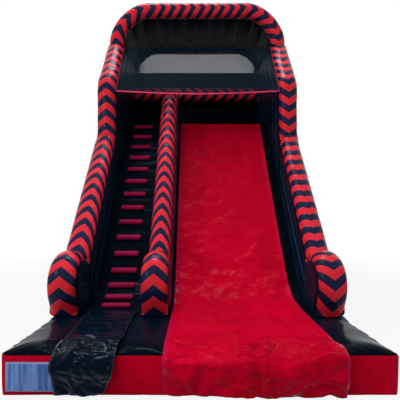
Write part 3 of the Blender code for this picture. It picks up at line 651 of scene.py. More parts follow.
# %% Base mattress
SIDE_SHARES = [0.0, 0.016, 0.05, 0.13, 0.24, 0.38, 0.52, 0.65, 0.78, 0.88, 0.94, 0.975, 1.0]
TOP_INSETS = [0.004, 0.012, 0.024, 0.038, 0.055, 0.075, 0.10, 0.13, 0.16, 0.19, 0.22, 0.25]
TOP_INSETS += [0.28, 0.32, SWELL_DEPTH, 0.42, 0.5, 0.6, 0.75, 0.9, 1.1, 1.3, 1.6, HALF - 0.02]
FOOT_OUT = 0.008
INSETS = np.array([FOOT_OUT * (1 - share) ** 3 for share in SIDE_SHARES] + TOP_INSETS)
ON_SIDE = np.arange(len(INSETS)) < len(SIDE_SHARES)
SEAM_ROW = len(SIDE_SHARES) - 1
SIDE_GATHERS, TOP_GATHERS = 0.0045, 0.011
GATHER_FADE_DOWN, GATHER_FADE_IN = 3.7, 0.07
SLACK = 0.004
SLACK_AT_ANCHORS = 0.3
SIDE_FADE = 0.12
PANEL_SEAM_X = -0.53
PANEL_SEAM_WIDTH, PANEL_SEAM_DEPTH = 0.006, 0.007
SEAM_DENT = 0.005


def mattress_form(rim, drop):
    """The box before its cloth is gathered: up the side, then in over the top."""
    rise = np.where(ON_SIDE, 0, swell_rise(INSETS))
    heights = FLOOR_TOP - drop * (1 - rise[:, None])
    heights[ON_SIDE] *= np.array(SIDE_SHARES)[:, None]
    x = rim[:, 0] * (HALF - INSETS[:, None]) / HALF
    y = MIDDLE_Y + rim[:, 1] * (LENGTH / 2 - INSETS[:, None]) / (LENGTH / 2)
    heights[~ON_SIDE] += pillow_swell(x, y - FRONT)[~ON_SIDE]
    return grid_of(x, y, heights)


def mattress_folds(points, rim, drop):
    """How deep the cloth lies under that form: gathers, slack and seams, less the bulge."""
    run = length_along(rim)
    side = ON_SIDE[:, None]
    below = np.exp((np.array(SIDE_SHARES) - 1) * GATHER_FADE_DOWN)
    gather = np.concatenate((below, np.exp(-INSETS[~ON_SIDE] / GATHER_FADE_IN)))[:, None]
    tucks = puckers(run, 11) + 0.5 * puckers(run, 12, 0.09)
    depth = np.where(side, SIDE_GATHERS, TOP_GATHERS) * gather * (tucks - 0.9)
    depth = depth * (drop / SEAM_DROP * 0.8 + 0.2)
    at_side = np.abs(rim[:, 0]) > HALF - 0.001
    slack = SLACK * smooth_noise(points * (1, 1, 0.35), 0.13, 13)
    depth = depth + slack * (1 - gather) * side * np.where(at_side, SLACK_AT_ANCHORS, 1.0)
    panel_seam = hill(rim[:, 0], PANEL_SEAM_X, PANEL_SEAM_WIDTH) * (rim[:, 1] < 0)
    depth = depth + PANEL_SEAM_DEPTH * panel_seam * side
    from_corner = np.maximum(HALF - np.abs(rim[:, 0]), LENGTH / 2 - np.abs(rim[:, 1]))
    shares = np.append(SIDE_SHARES, np.ones(len(TOP_INSETS)))[:, None]
    outwards = belly(HALF - from_corner, shares)
    outwards = np.where(at_side, SIDE_OUT * np.exp(-from_corner / SIDE_FADE), outwards)
    depth = depth - outwards * np.where(side, 1, 0.5 * gather)
    depth[SEAM_ROW] += SEAM_DENT
    return depth


def make_base():
    """The base as one skin: red below its seam and black above it."""
    rim = base_rim()
    drop = seam_drop(MIDDLE_Y + rim[:, 1]) * np.where(rim[:, 0] < CORNER_RADIUS - HALF, LEFT_SEAM, 1)
    points = mattress_form(rim, drop)
    depth = mattress_folds(points, rim, drop)
    depth[[0, -1]] = 0.0
    points = pushed(points, -depth)
    points[0, :, 2] = 0.0
    slots = (np.arange(len(INSETS) - 1) >= SEAM_ROW).astype(int)
    return skin("base_mattress", points, (RED, BLACK), slots=slots[:, None])


base_skin = dress(make_base(), "red_vinyl", "base", fill=1.0)
print("base mattress:", len(base_skin.data.polygons), "faces")

# %% [markdown]
# ## Walls of air
#
# A side wall is a flat bag: two black side panels held together by inner strips, and a
# chevron strip round its front edge. Air makes the strip bulge like a tube and the panels
# swell between the lines where the inner strips are sewn. Each line is covered by a
# glossier tape, painted lighter than the panels as a highlight along the seam, and an
# outer panel swells a little further. The skin is built from slices: each starts on the
# wall's front line, bends round the nose and runs back to the wall's end. Columns keep a
# fixed distance from the front line, so the sewn lines follow it, and the nose columns
# carry the strip map for the chevrons.

# %% Columns of a wall
NOSE_STEPS = 24
NOSE = np.linspace(-math.pi / 2, math.pi / 2, NOSE_STEPS + 1)
PANEL_STEP = 0.025
PANEL_PILLOW = 0.30
END_EDGE = ((0.05, 0.0), (0.03, 0.005), (0.012, 0.016), (0.003, 0.032), (0.0, 0.05))


def pillow_share(run, size):
    """0 on every sewn line, 1 between them; and the distance to the nearest line."""
    share = (run / size) % 1.0
    return 1 - np.abs(2 * share - 1) ** 3.5, size * np.minimum(share, 1 - share)


def strip_across(half_width, rounding):
    """Real lengths over a nose, measured from its middle line."""
    across = half_width * np.sin(NOSE)
    inward = rounding * (1 - np.cos(NOSE))
    arc = length_along(np.stack((across, inward), -1))
    return arc - arc[-1] / 2


def wall_columns(length):
    """The turn round the nose and the length past it, from one end round to the other."""
    side = PANEL_STEP * np.arange(1, math.ceil(length / PANEL_STEP) + 1)
    side = np.append(side, np.full(len(END_EDGE), side[-1]))
    turns = np.concatenate((np.full(len(side), NOSE[0]), NOSE, np.full(len(side), NOSE[-1])))
    return turns, np.concatenate((side[::-1], np.zeros(len(NOSE)), side))


def wall_slots(beyond, first):
    """0 on the panels, 1 on the strip and 2 on the tapes over the sewn lines, whose lighter colour is a
    painted highlight.
    """
    slots = np.zeros(len(beyond), int)
    sewn = np.isclose(pillow_share(beyond, PANEL_PILLOW)[1], 0) & (beyond > PANEL_STEP)
    slots[:-1][sewn[1:]] = 2
    slots[first : first + NOSE_STEPS] = 1
    return slots


print("panels are sewn every", PANEL_PILLOW, "m")

# %% Wall skins
PANEL_SWELL = 0.020
GATHER = 0.004
GATHER_REACH = 0.035
END_FADE = 0.08
WIDEST_STRETCH = 5.0


def wall_swell(turns, beyond, run, seed):
    """How far air pushes the cloth out: pillows, gathers at their seams, and slack."""
    share, from_seam = pillow_share(beyond, PANEL_PILLOW)
    gathers = GATHER * (puckers(run, seed)[:, None] - 0.6) * np.exp(-from_seam / GATHER_REACH)
    flat = grid_of(beyond + turns, run[:, None])
    slack = 0.004 * smooth_noise(flat, 0.30, seed + 1) + 0.002 * smooth_noise(flat, 0.09, seed + 2)
    return np.where(np.abs(turns) == NOSE[-1], PANEL_SWELL * share, 0.0) + gathers + slack


def wall_skin(name, centre, half_width, rounding, front, inward, limit, flow, phase, seed, outer=0.0):
    """A wall from its front line, rows of y and z, going inward as far as each row's limit.

    Flow and phase place the chevrons along the strip: up or down it, and from where. The
    outer face swells by a further length.
    """
    tangent = unit(np.gradient(front, axis=0))
    out = np.stack((-tangent[:, 1], tangent[:, 0]), -1)
    stretch = 1 / np.maximum(np.abs(out @ np.array(inward)), 1 / WIDEST_STRETCH)
    run = length_along(front)
    rounding = np.broadcast_to(rounding, len(front))
    turns, beyond = wall_columns(np.max(limit / stretch - rounding))
    depth = (rounding[:, None] * (1 - np.cos(turns)) + beyond) * stretch[:, None]
    furthest = limit[:, None] - END_EDGE[0][0]
    depth = np.minimum(depth, furthest)
    pinch = np.zeros(len(turns))
    for step, (back, inset) in enumerate(END_EDGE):
        for column in (len(END_EDGE) - 1 - step, len(turns) - len(END_EDGE) + step):
            depth[:, column] = limit - back
            pinch[column] = inset
    swell = wall_swell(turns, beyond, run, seed) * np.clip((furthest - depth) / END_FADE, 0, 1)
    points = np.zeros((*depth.shape, 3))
    points[..., 0] = centre + np.sin(turns) * (half_width - pinch + swell)
    points[..., 0] += np.sin(turns) * outer * (np.sign(turns) == np.sign(centre))
    for axis in (0, 1):
        base = front[:, axis, None] + inward[axis] * depth
        points[..., axis + 1] = base + out[:, axis, None] * np.cos(turns) * swell
    points = np.concatenate((points, points[:, :1]), axis=1)
    first = (len(turns) - len(NOSE)) // 2
    strip = np.zeros((*points.shape[:2], 2))
    strip[:, first : first + len(NOSE), 0] = strip_across(half_width, float(np.max(rounding)))
    strip[..., 1] = (flow * run + phase)[:, None]
    # Slot 2, the tapes over the sewn lines, takes the lighter tape colour, a painted highlight.
    obj = skin(name, points, (BLACK, CHEVRON, SEAM_TAPE_HIGHLIGHT), {"strip": strip}, wall_slots(beyond, first))
    print(name, len(obj.data.polygons), "faces, strip", round(run[-1], 2), "m long")
    return obj


print("wall skins ready, swelling", PANEL_SWELL, "m between seams")

# %% [markdown]
# ## Slope walls and tower walls
#
# On each side a slope wall climbs to a post, and the post leans back into the hood. They
# share one front strip, so both take their chevron phase from the same running length.
# Chevrons point up on the left, over the hood to the right and down on the right side, as
# if one long arrow ran round the frame.

# %% Side walls
ROUNDING = 0.125
HIDDEN_ROUNDING = 0.02
POST_CUT = 0.16
OPENING_RISE = 0.26
LEFT_PHASE = 0.179
RIGHT_PHASE = 0.128
OUTER_SWELLS = {"left": (0.052, 0.034), "right": (0.022, 0.026)}


def slope_front():
    """The slope wall's front line, as rows of y and z."""
    corners = [(SLOPE_FOOT, SLOPE_START), ((SLOPE_FOOT + POST) / 2, (SLOPE_START + SLOPE_END) / 2)]
    return rounded_path(corners + [(POST, SLOPE_END)])


def tower_front():
    """The tower wall's front line: up the post, then back into the hood."""
    corners = [(POST, FLOOR_TOP), (POST, POST_TOP), (LEAN_END, HOOD_FOOT)]
    return rounded_path(corners, cut=POST_CUT)


def make_side_wall(side, sign, flow, phase, seed):
    """A slope wall and the tower wall behind it, whose nose opens above the slope."""
    slope = slope_front()
    limit = slope[:, 1] - FLOOR_TOP
    obj = wall_skin(
        f"{side}_slope_skin", sign * WALL_MIDDLE, WALL / 2, ROUNDING,
        slope, (0, -1), limit, flow, phase, seed, OUTER_SWELLS[side][0],
    )
    dress(obj, "black_vinyl", f"{side}_slope_wall", fill=1.0)
    tower = tower_front()
    limit = tower_high.y - tower[:, 0]
    opening = smooth_step(tower[:, 1], SLOPE_END - POST_CUT, SLOPE_END - POST_CUT + OPENING_RISE)
    rounding = HIDDEN_ROUNDING + (ROUNDING - HIDDEN_ROUNDING) * opening
    slope_run = math.dist(slope[0], slope[-1]) - (SLOPE_END - FLOOR_TOP)
    obj = wall_skin(
        f"{side}_tower_skin", sign * WALL_MIDDLE, WALL / 2, rounding,
        tower, (1, 0), limit, flow, phase + flow * slope_run, seed + 7, OUTER_SWELLS[side][1],
    )
    dress(obj, "black_vinyl", f"{side}_tower_wall", fill=1.0)


make_side_wall("left", -1, 1, LEFT_PHASE, 20)
make_side_wall("right", 1, -1, RIGHT_PHASE, 40)

# %% [markdown]
# ## The dividing wall
#
# Between the lanes stands a lower wall of the same making. Its front line bends at the
# top, where it flattens towards the platform.

# %% Divider wall
divider_low, divider_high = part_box("divider_wall")
DIVIDER_X = (divider_low.x + divider_high.x) / 2
DIVIDER_HALF = (divider_high.x - divider_low.x) / 2
DECK_EDGE = divider_high.y
DIVIDER_FLOW = 1.073
DIVIDER_PHASE = 0.100
DIVIDER_BEND = ((0.62, 4.12), (0.30, 4.36), (0.0, divider_high.z))


def make_divider():
    """The wall between the lanes, which bends over towards the deck."""
    corners = [(SLOPE_FOOT, SLOPE_START)] + [(DECK_EDGE - before, z) for before, z in DIVIDER_BEND]
    front = rounded_path(corners, cut=0.20)
    front[-1, 0] = DECK_EDGE
    limit = front[:, 1] - FLOOR_TOP
    obj = wall_skin(
        "divider_skin", DIVIDER_X, DIVIDER_HALF, ROUNDING,
        front, (0, -1), limit, DIVIDER_FLOW, DIVIDER_PHASE, 60,
    )
    dress(obj, "black_vinyl", "divider_wall", fill=1.0)


make_divider()

# %% [markdown]
# ## The scrolls
#
# Each wall ends in front in a rolled-over nose, like the volute of a column, standing on
# the base. In side view it is a disc with a drawn-in foot. The skin is a fan: every slice
# runs from the middle of one side out to the rim, over the crowned rim and back to the
# middle of the other side.

# %% Outline of a scroll
SCROLL_RADIUS = 0.42
SCROLL_REACH = 0.73
SCROLL_CLEAR = 0.012
SCROLL_FOOT_TURN = math.radians(27)
scroll_y = SLOPE_FOOT - (SCROLL_REACH - SCROLL_RADIUS)
scroll_middle = np.array((scroll_y, scroll_high.z - SCROLL_CLEAR - SCROLL_RADIUS))


def scroll_rim():
    """Side view of a scroll, up its back, over the top and down to the toe; and where it is striped."""
    back = SLOPE_FOOT
    first = math.acos((back - scroll_middle[0]) / SCROLL_RADIUS)
    turns = np.linspace(first, math.pi + SCROLL_FOOT_TURN, 56)
    arc = scroll_middle + SCROLL_RADIUS * np.stack((np.cos(turns), np.sin(turns)), -1)
    toe = arc[-1]
    drop = toe[1] - FLOOR_TOP
    foot = (toe[0] + drop * math.tan(SCROLL_FOOT_TURN), FLOOR_TOP)
    rise = [(back, z) for z in np.linspace(FLOOR_TOP, arc[0, 1], 12)[:-1]]
    heel = [tuple(toe + (np.array(foot) - toe) * s) for s in np.linspace(0, 1, 12)[1:]]
    sole = [(y, FLOOR_TOP) for y in np.linspace(foot[0], back, 14)[1:]]
    rim = np.array(rise + [tuple(p) for p in arc] + heel + sole)
    striped = np.array([False] * len(rise) + [True] * (len(arc) + len(heel)) + [False] * len(sole))
    return rim, striped


print("scroll rim:", len(scroll_rim()[0]), "points")

# %% Scrolls
SCROLL_CROWN = 0.085
BACK_CROWN = 0.02
TOP_CROWN = 0.045
DISC_SWELL = 0.016
DISC_MIDDLE_OUT = 0.004
SEAM_TUCKS = 0.006
SEAM_TUCK_REACH = 0.10
TIP_SHARE = 0.75


def scroll_bands(down):
    """Bands passed by a length down from the first arrow's tip; lower ones are cut wider."""
    return 4.35 * down - 0.95 * np.maximum(down, 0) ** 2


def disc_swell(shares, run, seed):
    """How far a scroll's flat side swells, for shares of the way in from its rim."""
    tucks = puckers(run, seed)[:, None] - 0.6
    swell = DISC_SWELL * np.sin(math.pi * shares**0.6) ** 0.7
    swell = swell + SEAM_TUCKS * tucks * np.exp(-shares / SEAM_TUCK_REACH)
    flat = grid_of(shares * 0.4, run[:, None])
    return swell + 0.004 * smooth_noise(flat, 0.12, seed + 1) * (1 - shares)


def make_scroll(name, node, centre, half_width, flow, first_tip, seed):
    """A scroll; the first arrow's tip lies a length down from its top."""
    rim, striped = scroll_rim()
    run = length_along(rim)
    tangent = unit(np.gradient(rim, axis=0))
    inner = np.stack((-tangent[:, 1], tangent[:, 0]), -1)
    crown = np.convolve(np.where(striped, SCROLL_CROWN, BACK_CROWN), np.ones(5) / 5, "same")
    crown = crown + TOP_CROWN * np.clip((rim[:, 1] - scroll_middle[1]) / SCROLL_RADIUS, 0, 1) ** 2
    shares = (np.linspace(0, 1, 12) ** 0.8)[1:]
    nose = rim[:, None] + inner[:, None] * (crown[:, None] * (1 - np.cos(NOSE)))[..., None]
    edge = nose[:, :1]
    panel = edge + (scroll_middle - edge) * shares[:, None]
    swell = disc_swell(shares, run, seed)
    over = np.broadcast_to(centre + half_width * np.sin(NOSE), nose.shape[:2])
    x = np.concatenate((centre - half_width - swell[:, ::-1], over, centre + half_width + swell), axis=1)
    side_view = np.concatenate((panel[:, ::-1], nose, panel), axis=1)
    points = np.concatenate((x[..., None], side_view), axis=-1)
    points[:, 0] = (centre - half_width - DISC_MIDDLE_OUT, *scroll_middle)
    points[:, -1] = (centre + half_width + DISC_MIDDLE_OUT, *scroll_middle)
    over_nose = slice(len(shares), len(shares) + len(NOSE))
    wrinkle = 0.003 * smooth_noise(grid_of(NOSE / 4, run[:, None]), 0.08, seed + 2)
    points[:, over_nose, 1:] += inner[:, None] * wrinkle[..., None]
    points[-1] = points[0]
    down = run - run[np.argmax(rim[:, 1])] - first_tip
    strip = np.zeros((*points.shape[:2], 2))
    strip[:, over_nose, 0] = strip_across(half_width, SCROLL_CROWN)
    strip[..., 1] = CHEVRON_PERIOD * (TIP_SHARE - flow * scroll_bands(down))[:, None]
    slots = np.zeros(points.shape[1] - 1, int)
    slots[len(shares) : len(shares) + NOSE_STEPS] = 1
    obj = skin(name, points, (BLACK, CHEVRON), {"strip": strip}, slots=slots)
    dress(obj, "chevron_vinyl", node, fill=1.0)
    print(name, "from the foot to the toe", round(run[-1], 2), "m")


scroll_half = (scroll_high.x - scroll_low.x) / 2
divider_scroll_low, divider_scroll_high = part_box("divider_scroll")
divider_scroll_half = (divider_scroll_high.x - divider_scroll_low.x) / 2
left_x, left_half = -WALL_MIDDLE - 0.010, scroll_half - 0.004
right_x = WALL_MIDDLE - 0.034
make_scroll("left_scroll_skin", "left_scroll", left_x, left_half, flow=1, first_tip=0.275, seed=80)
make_scroll("right_scroll_skin", "right_scroll", right_x, scroll_half, flow=-1, first_tip=0.327, seed=90)
make_scroll(
    "divider_scroll_skin", "divider_scroll", DIVIDER_X, divider_scroll_half,
    flow=1, first_tip=0.242, seed=100,
)

# %% [markdown]
# ## Hoops of the hood
#
# Two air tubes stand on the towers and arch over them; the front one continues the walls'
# chevron strip, and the rear one matches it. A tube is a circle carried along a path. The
# strip map runs all round it, but only the half that looks away from the hood, and a
# little beyond that half, gets the chevrons; the rest is black.

# %% Arch tubes
ARCH_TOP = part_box("front_arch")[1].z
ARCH_CORNER = 0.80
ARCH_SQUARENESS = 1.7
TUBE_STEPS = 36
STRIP_TURN = math.radians(96)
TUBE_CLEAR = 0.004
FINER = 3


def arch_line(inset, foot):
    """The hoop in the XZ plane, drawn in from the outer outline by an inset."""
    side = HALF - inset
    corner = ARCH_CORNER - inset
    turn_height = ARCH_TOP - ARCH_CORNER
    power = 2 / ARCH_SQUARENESS
    points = [(-side, z) for z in np.linspace(foot, turn_height, 5)[:-1]]
    for turn in np.linspace(0, math.pi / 2, 30):
        over, up = abs(math.cos(turn)) ** power, math.sin(turn) ** power
        points.append((-HALF + ARCH_CORNER - corner * over, turn_height + corner * up))
    reach = points[-1][0]
    points += [(x, ARCH_TOP - inset) for x in np.linspace(reach, 0, 24)[1:]]
    return np.array(points + [(-x, z) for x, z in reversed(points[:-1])])


def tube_skin(name, line, front, side, radius, bands, seed):
    """A tube round a line; the chevron strip lies on the half that looks along front.

    Front and side are the two directions across the line at each of its points, and bands
    counts the chevrons passed there.
    """
    run = length_along(line)
    turns = np.linspace(-math.pi, math.pi, TUBE_STEPS + 1)
    flat = grid_of(radius * turns, run[:, None])
    wrinkle = 0.003 * smooth_noise(flat, 0.10, seed) + 0.002 * smooth_noise(flat, 0.035, seed + 1)
    wrinkle[:, -1] = wrinkle[:, 0]
    reach = (radius - TUBE_CLEAR + wrinkle)[..., None]
    around = front[:, None] * np.cos(turns)[:, None] + side[:, None] * np.sin(turns)[:, None]
    points = line[:, None] + around * reach
    strip = grid_of(radius * turns, (CHEVRON_PERIOD * bands)[:, None])
    middles = np.abs(turns[1:] + turns[:-1]) / 2
    slots = (middles > STRIP_TURN).astype(int)
    obj = skin(name, points, (CHEVRON, BLACK), {"strip": strip}, slots=slots)
    print(name, round(run[-1], 2), "m long with", round(float(bands[-1] - bands[0]), 2), "bands")
    return obj


def make_arch(name, node, facing, bands_at, seed):
    """Facing is -1 where the strip looks to the front and 1 where it looks to the rear."""
    low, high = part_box(node)
    flat = arch_line(TUBE, HOOD_FOOT)
    line = grid_of(flat[:, 0], (low.y + high.y) / 2, flat[:, 1])
    fine = np.linspace(0, len(line) - 1, FINER * (len(line) - 1) + 1)
    line = np.stack([np.interp(fine, np.arange(len(line)), line[:, i]) for i in range(3)], -1)
    tangent = unit(np.gradient(line, axis=0))
    front = np.broadcast_to(np.array((0.0, facing, 0.0)), line.shape)
    outward = np.cross(np.array((0.0, -1.0, 0.0)), tangent)
    obj = tube_skin(name, line, front, outward, TUBE, bands_at(length_along(line)), seed)
    dress(obj, "chevron_vinyl", node, fill=1.0)


print("hoop outline:", len(arch_line(TUBE, HOOD_FOOT)), "points")

# %% Place both hoops
CORNER_REACH = 1.20
CORNER_BANDS = 4.1
TOP_BANDS = 9.0
slope_line = slope_front()
strip_run = math.dist(slope_line[0], slope_line[-1]) + (POST_TOP - SLOPE_END)
strip_run += math.dist((POST, POST_TOP), (LEAN_END, HOOD_FOOT))
first_band = (LEFT_PHASE + strip_run) / CHEVRON_PERIOD
last_band = (RIGHT_PHASE - strip_run) / CHEVRON_PERIOD


def front_arch_bands(run):
    """Both ends continue the walls' strips; the corners are pieced from wider bands."""
    whole = 2 * CORNER_BANDS + TOP_BANDS
    total = round(whole - (last_band - first_band) % 1) + (last_band - first_band) % 1
    places = (0, CORNER_REACH, run[-1] - CORNER_REACH, run[-1])
    return first_band + np.interp(run, places, (0, CORNER_BANDS, CORNER_BANDS + TOP_BANDS, total))


make_arch("front_arch_skin", "front_arch", -1, front_arch_bands, 110)
make_arch("rear_arch_skin", "rear_arch", 1, lambda run: run / CHEVRON_PERIOD, 115)

# %% [markdown]
# ## The cross tube
#
# A fat chevron tube lies across the rear wall behind the platform, as a bumper.

# %% Cross tube
def make_cross_tube():
    """A level tube from wall to wall, striped on its front half."""
    low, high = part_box("cross_tube")
    middle = (low + high) / 2
    x = np.linspace(low.x, high.x, 110)
    line = grid_of(x, middle.y, middle.z)
    front = np.broadcast_to(np.array((0.0, -1.0, 0.0)), line.shape)
    upward = np.broadcast_to(np.array((0.0, 0.0, 1.0)), line.shape)
    radius = (high.z - low.z) / 2
    bands = (x - low.x) / CHEVRON_PERIOD
    obj = tube_skin("cross_tube_skin", line, front, upward, radius, bands, 120)
    dress(obj, "chevron_vinyl", "cross_tube", fill=1.0)


make_cross_tube()

# %% [markdown]
# ## Roof, rear wall and deck
#
# The roof is a vault of ribs that run from front to back, like an air bed bent over the
# frame; the rear wall is the same with its ribs lying level, taped on its outer face, and
# the deck is a flat pad. All three are shells with two faces, so one function makes them:
# a profile closed on itself is carried along a line, and the sewn lines are pressed in.

# %% Ribbed chambers
ROOF_HALF = 0.075
ROOF_RIBS = 14
REAR_CHANNELS = 14
CHANNEL_ROWS = 15
REAR_INSET = 0.012
SILL_CLEAR = 0.02
DECK_CHANNELS = 5


def ribbed(name, outer, inner, seams, depth, seed, tapes=0):
    """A closed body between two faces of points, with channels pressed into both."""
    swell = depth * (pillow_share(seams, 1.0)[0] - 1)
    wave = 0.003 * smooth_noise(outer, 0.25, seed)
    top = pushed(outer, swell + wave)
    under = pushed(inner, -(swell + wave))
    for face, original in ((top, outer), (under, inner)):
        for edge in (np.s_[0], np.s_[-1], np.s_[:, 0], np.s_[:, -1]):
            face[edge] = original[edge]
    # The tapes take the lighter tape colour, a painted highlight along the rear wall's outer seams.
    return skin(name, closed(top, under), (BLACK, SEAM_TAPE_HIGHLIGHT), slots=tapes)


def make_roof():
    """The hood's vault, its ribs following the hoops."""
    low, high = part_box("hood_roof")
    run = length_along(arch_line(TUBE, HOOD_FOOT))
    spots = np.linspace(0, run[-1], 190)
    y = np.linspace(low.y, high.y, 40)
    faces = []
    for inset in (TUBE - ROOF_HALF, TUBE + ROOF_HALF):
        line = arch_line(inset, HOOD_FOOT)
        x, z = (np.interp(spots, run, line[:, i])[:, None] for i in (0, 1))
        faces.append(grid_of(x, y, z)[:, ::-1])
    ribs = (spots / (run[-1] / ROOF_RIBS))[:, None]
    obj = ribbed("roof_skin", *faces, ribs, 0.022, 130)
    dress(obj, "black_vinyl", "hood_roof", fill=1.0)


def make_rear_wall():
    """The wall under the window, with a tape over each outer seam, painted lighter as a highlight."""
    low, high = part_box("rear_wall")
    x = np.linspace(low.x, high.x, 80)
    z = np.linspace(low.z, high.z - SILL_CLEAR, REAR_CHANNELS * CHANNEL_ROWS + 1)[:, None]
    faces = [grid_of(x, y, z)[:, ::-1] for y in (high.y - REAR_INSET, low.y + REAR_INSET)]
    channels = np.linspace(0, REAR_CHANNELS, len(z))[:, None]
    rows = np.arange(len(z) - 1)[:, None]
    on_outside = np.arange(2 * len(x)) < len(x) - 1
    tapes = (rows % CHANNEL_ROWS == 0) & (rows > 0) & on_outside
    obj = ribbed("rear_wall_skin", *faces, channels, 0.028, 140, tapes)
    dress(obj, "black_vinyl", "rear_wall", fill=1.0)


def make_deck():
    """The platform at the top of both lanes."""
    low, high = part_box("platform_deck")
    x = np.linspace(low.x, high.x, 90)
    y = np.linspace(low.y, high.y, 60)[:, None]
    channels = (y - low.y) / ((high.y - low.y) / DECK_CHANNELS)
    obj = ribbed("deck_skin", grid_of(x, y, high.z), grid_of(x, y, low.z), channels, 0.02, 150)
    dress(obj, "black_vinyl", "platform_deck", fill=1.0)


make_roof()
make_rear_wall()
make_deck()
print("roof of", ROOF_RIBS, "ribs, rear wall of", REAR_CHANNELS, "channels, deck of", DECK_CHANNELS)

# %% [markdown]
# ## The lanes' beds
#
# Under the sliding sheet and under the step bars lies a sloping air bed. Its side view is
# a hollowed foot that turns into a straight slope: a parabola and its tangent. The skin is
# that curve carried across the lane, crowned a little, and closed underneath.

# %% Beds
DECK_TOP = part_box("platform_deck")[1].z
LANE_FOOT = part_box("climbing_bed")[0].y
LANE_FILLET = 0.91
LANE_SLOPE = (DECK_TOP - FLOOR_TOP) / (DECK_EDGE - LANE_FOOT - LANE_FILLET / 2)
BED_THICKNESS = 0.60
BED_SHARE = 0.65
BED_GATHER = 0.004
BED_GATHER_REACH = 0.04


def lane_height(y):
    """Height of a lane's surface: flat run-out, hollow foot, then the straight slope."""
    past = np.clip(y - LANE_FOOT, 0, LANE_FILLET)
    rest = np.clip(y - LANE_FOOT - LANE_FILLET, 0, None)
    rest = np.minimum(rest, DECK_EDGE - LANE_FOOT - LANE_FILLET)
    return FLOOR_TOP + LANE_SLOPE * (past**2 / (2 * LANE_FILLET) + rest)


def make_bed(name, node, pillow_run, swell, seed):
    """A lane's bed, sewn across every pillow_run; the skin is kept clear of the frame behind."""
    low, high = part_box(node)
    x = np.linspace(low.x, high.x, 46)
    y = np.linspace(LANE_FOOT, DECK_EDGE, 150)
    z = lane_height(y)
    run = length_along(np.stack((y, z), -1))
    thick = np.minimum(z - FLOOR_TOP, BED_THICKNESS * math.hypot(1, LANE_SLOPE) * BED_SHARE)
    under = grid_of(x, y[:, None], (z - thick)[:, None])
    share, from_seam = pillow_share(run[:, None], pillow_run)
    across = np.sin(math.pi * np.linspace(0, 1, len(x))) ** 0.5
    height = swell * (share * across - 1)
    height = height + BED_GATHER * (puckers(x, seed) - 0.5) * np.exp(-from_seam / BED_GATHER_REACH)
    height[0] = 0.0
    top = pushed(grid_of(x, y[:, None], z[:, None]), height)
    top[..., 1] = np.minimum(top[..., 1], DECK_EDGE)
    obj = skin(name, closed(top, under), (BLACK,))
    dress(obj, "black_vinyl", node, fill=1.0)
    print(name, "slope length", round(run[-1], 2), "m")


make_bed("slide_bed_skin", "slide_bed", 0.40, 0.006, 160)
make_bed("climbing_bed_skin", "climbing_bed", 0.25, 0.010, 165)

# %% [markdown]
# ## Step bars
#
# Fifteen crimson foam-filled bars are sewn across the climbing bed. A bar is a half-round
# pad with puckered, drawn-in ends and a stitched foot all round. Each is built over the
# box of its own frame piece, along the slope there.

# %% Step bars
STEP_COUNT = 15
STEP_END = 0.08
STEP_DRAWN_IN = 0.55
STEP_DEPTH_SHARE = 0.88
STEP_HEIGHT_SHARE = 0.78
STEP_RIPPLE = 0.0015
STEP_STATIONS = np.concatenate((
    np.linspace(0, STEP_END, 8)[:-1],
    np.linspace(STEP_END, 1 - STEP_END, 26),
    np.linspace(1 - STEP_END, 1, 8)[1:],
))


def make_step(number):
    """A bar in the box of its frame piece, laid along the slope of the bed there."""
    node = f"step_{number:02d}"
    corners = np.array([tuple(v.co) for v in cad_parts[node].data.vertices])
    low, high = corners.min(0), corners.max(0)
    middle_y = (low[1] + high[1]) / 2
    slope = LANE_SLOPE * min(1.0, max(0.0, (middle_y - LANE_FOOT) / LANE_FILLET))
    along = np.array((0.0, 1.0, slope)) / math.hypot(1, slope)
    away = np.array((0.0, -along[2], along[1]))
    seat, reach = corners @ away, corners @ along
    foot, centre = seat.min(), (reach.max() + reach.min()) / 2
    half, height = (reach.max() - reach.min()) / 2, seat.max() - foot
    end = np.minimum(STEP_STATIONS, 1 - STEP_STATIONS) / STEP_END
    plump = np.sqrt(np.clip(1 - (1 - np.clip(end, 0, 1)) ** 2, 0, 1))
    size = STEP_DRAWN_IN + (1 - STEP_DRAWN_IN) * plump
    ripple = STEP_RIPPLE * smooth_noise(grid_of(STEP_STATIONS * 6, number), 0.3, 170 + number)
    sections = []
    for turn in np.linspace(0, math.pi, 15):
        sideways = centre + math.cos(turn) * STEP_DEPTH_SHARE * half * size
        proud = foot + math.sin(turn) ** 0.6 * (STEP_HEIGHT_SHARE * height * size + ripple)
        sections.append(along * sideways[:, None] + away * proud[:, None])
    points = np.stack(sections + sections[:1], axis=1)
    points[..., 0] = (low[0] + (high[0] - low[0]) * STEP_STATIONS)[:, None]
    obj = skin(f"step_pad_{number:02d}", points, (STEP_RED,))
    dress(obj, "step_vinyl", node, fill=0.9)


for step_number in range(1, STEP_COUNT + 1):
    make_step(step_number)
print("step pads:", STEP_COUNT)

# %% [markdown]
# ## Sheets of vinyl
#
# Two loose sheets lie over the lanes. The wide red one is what riders slide on; it runs
# from the platform down the bed, over the mattress and hangs down its front. The short
# black one covers the foot of the climbing lane in the same way. A sheet is a fine grid
# of points along that path. A bend carries it over the front edge, and the further back
# the bend's knee, the sharper the lip. Folds are pushed up from the grid, the hems are a
# second layer along the edges, and the grid is closed on itself 2 mm below.

# %% Lines under a sheet
CLOTH = 0.002
LIFT = 0.006
FINE_STEP = 0.015
COARSE_STEP = 0.035
FINE_REACH = 2.6
LIP_OUT = 0.125
HEM_OUT = 0.028
OVER_SEAM = 0.398
HEM_BLUR = 0.002


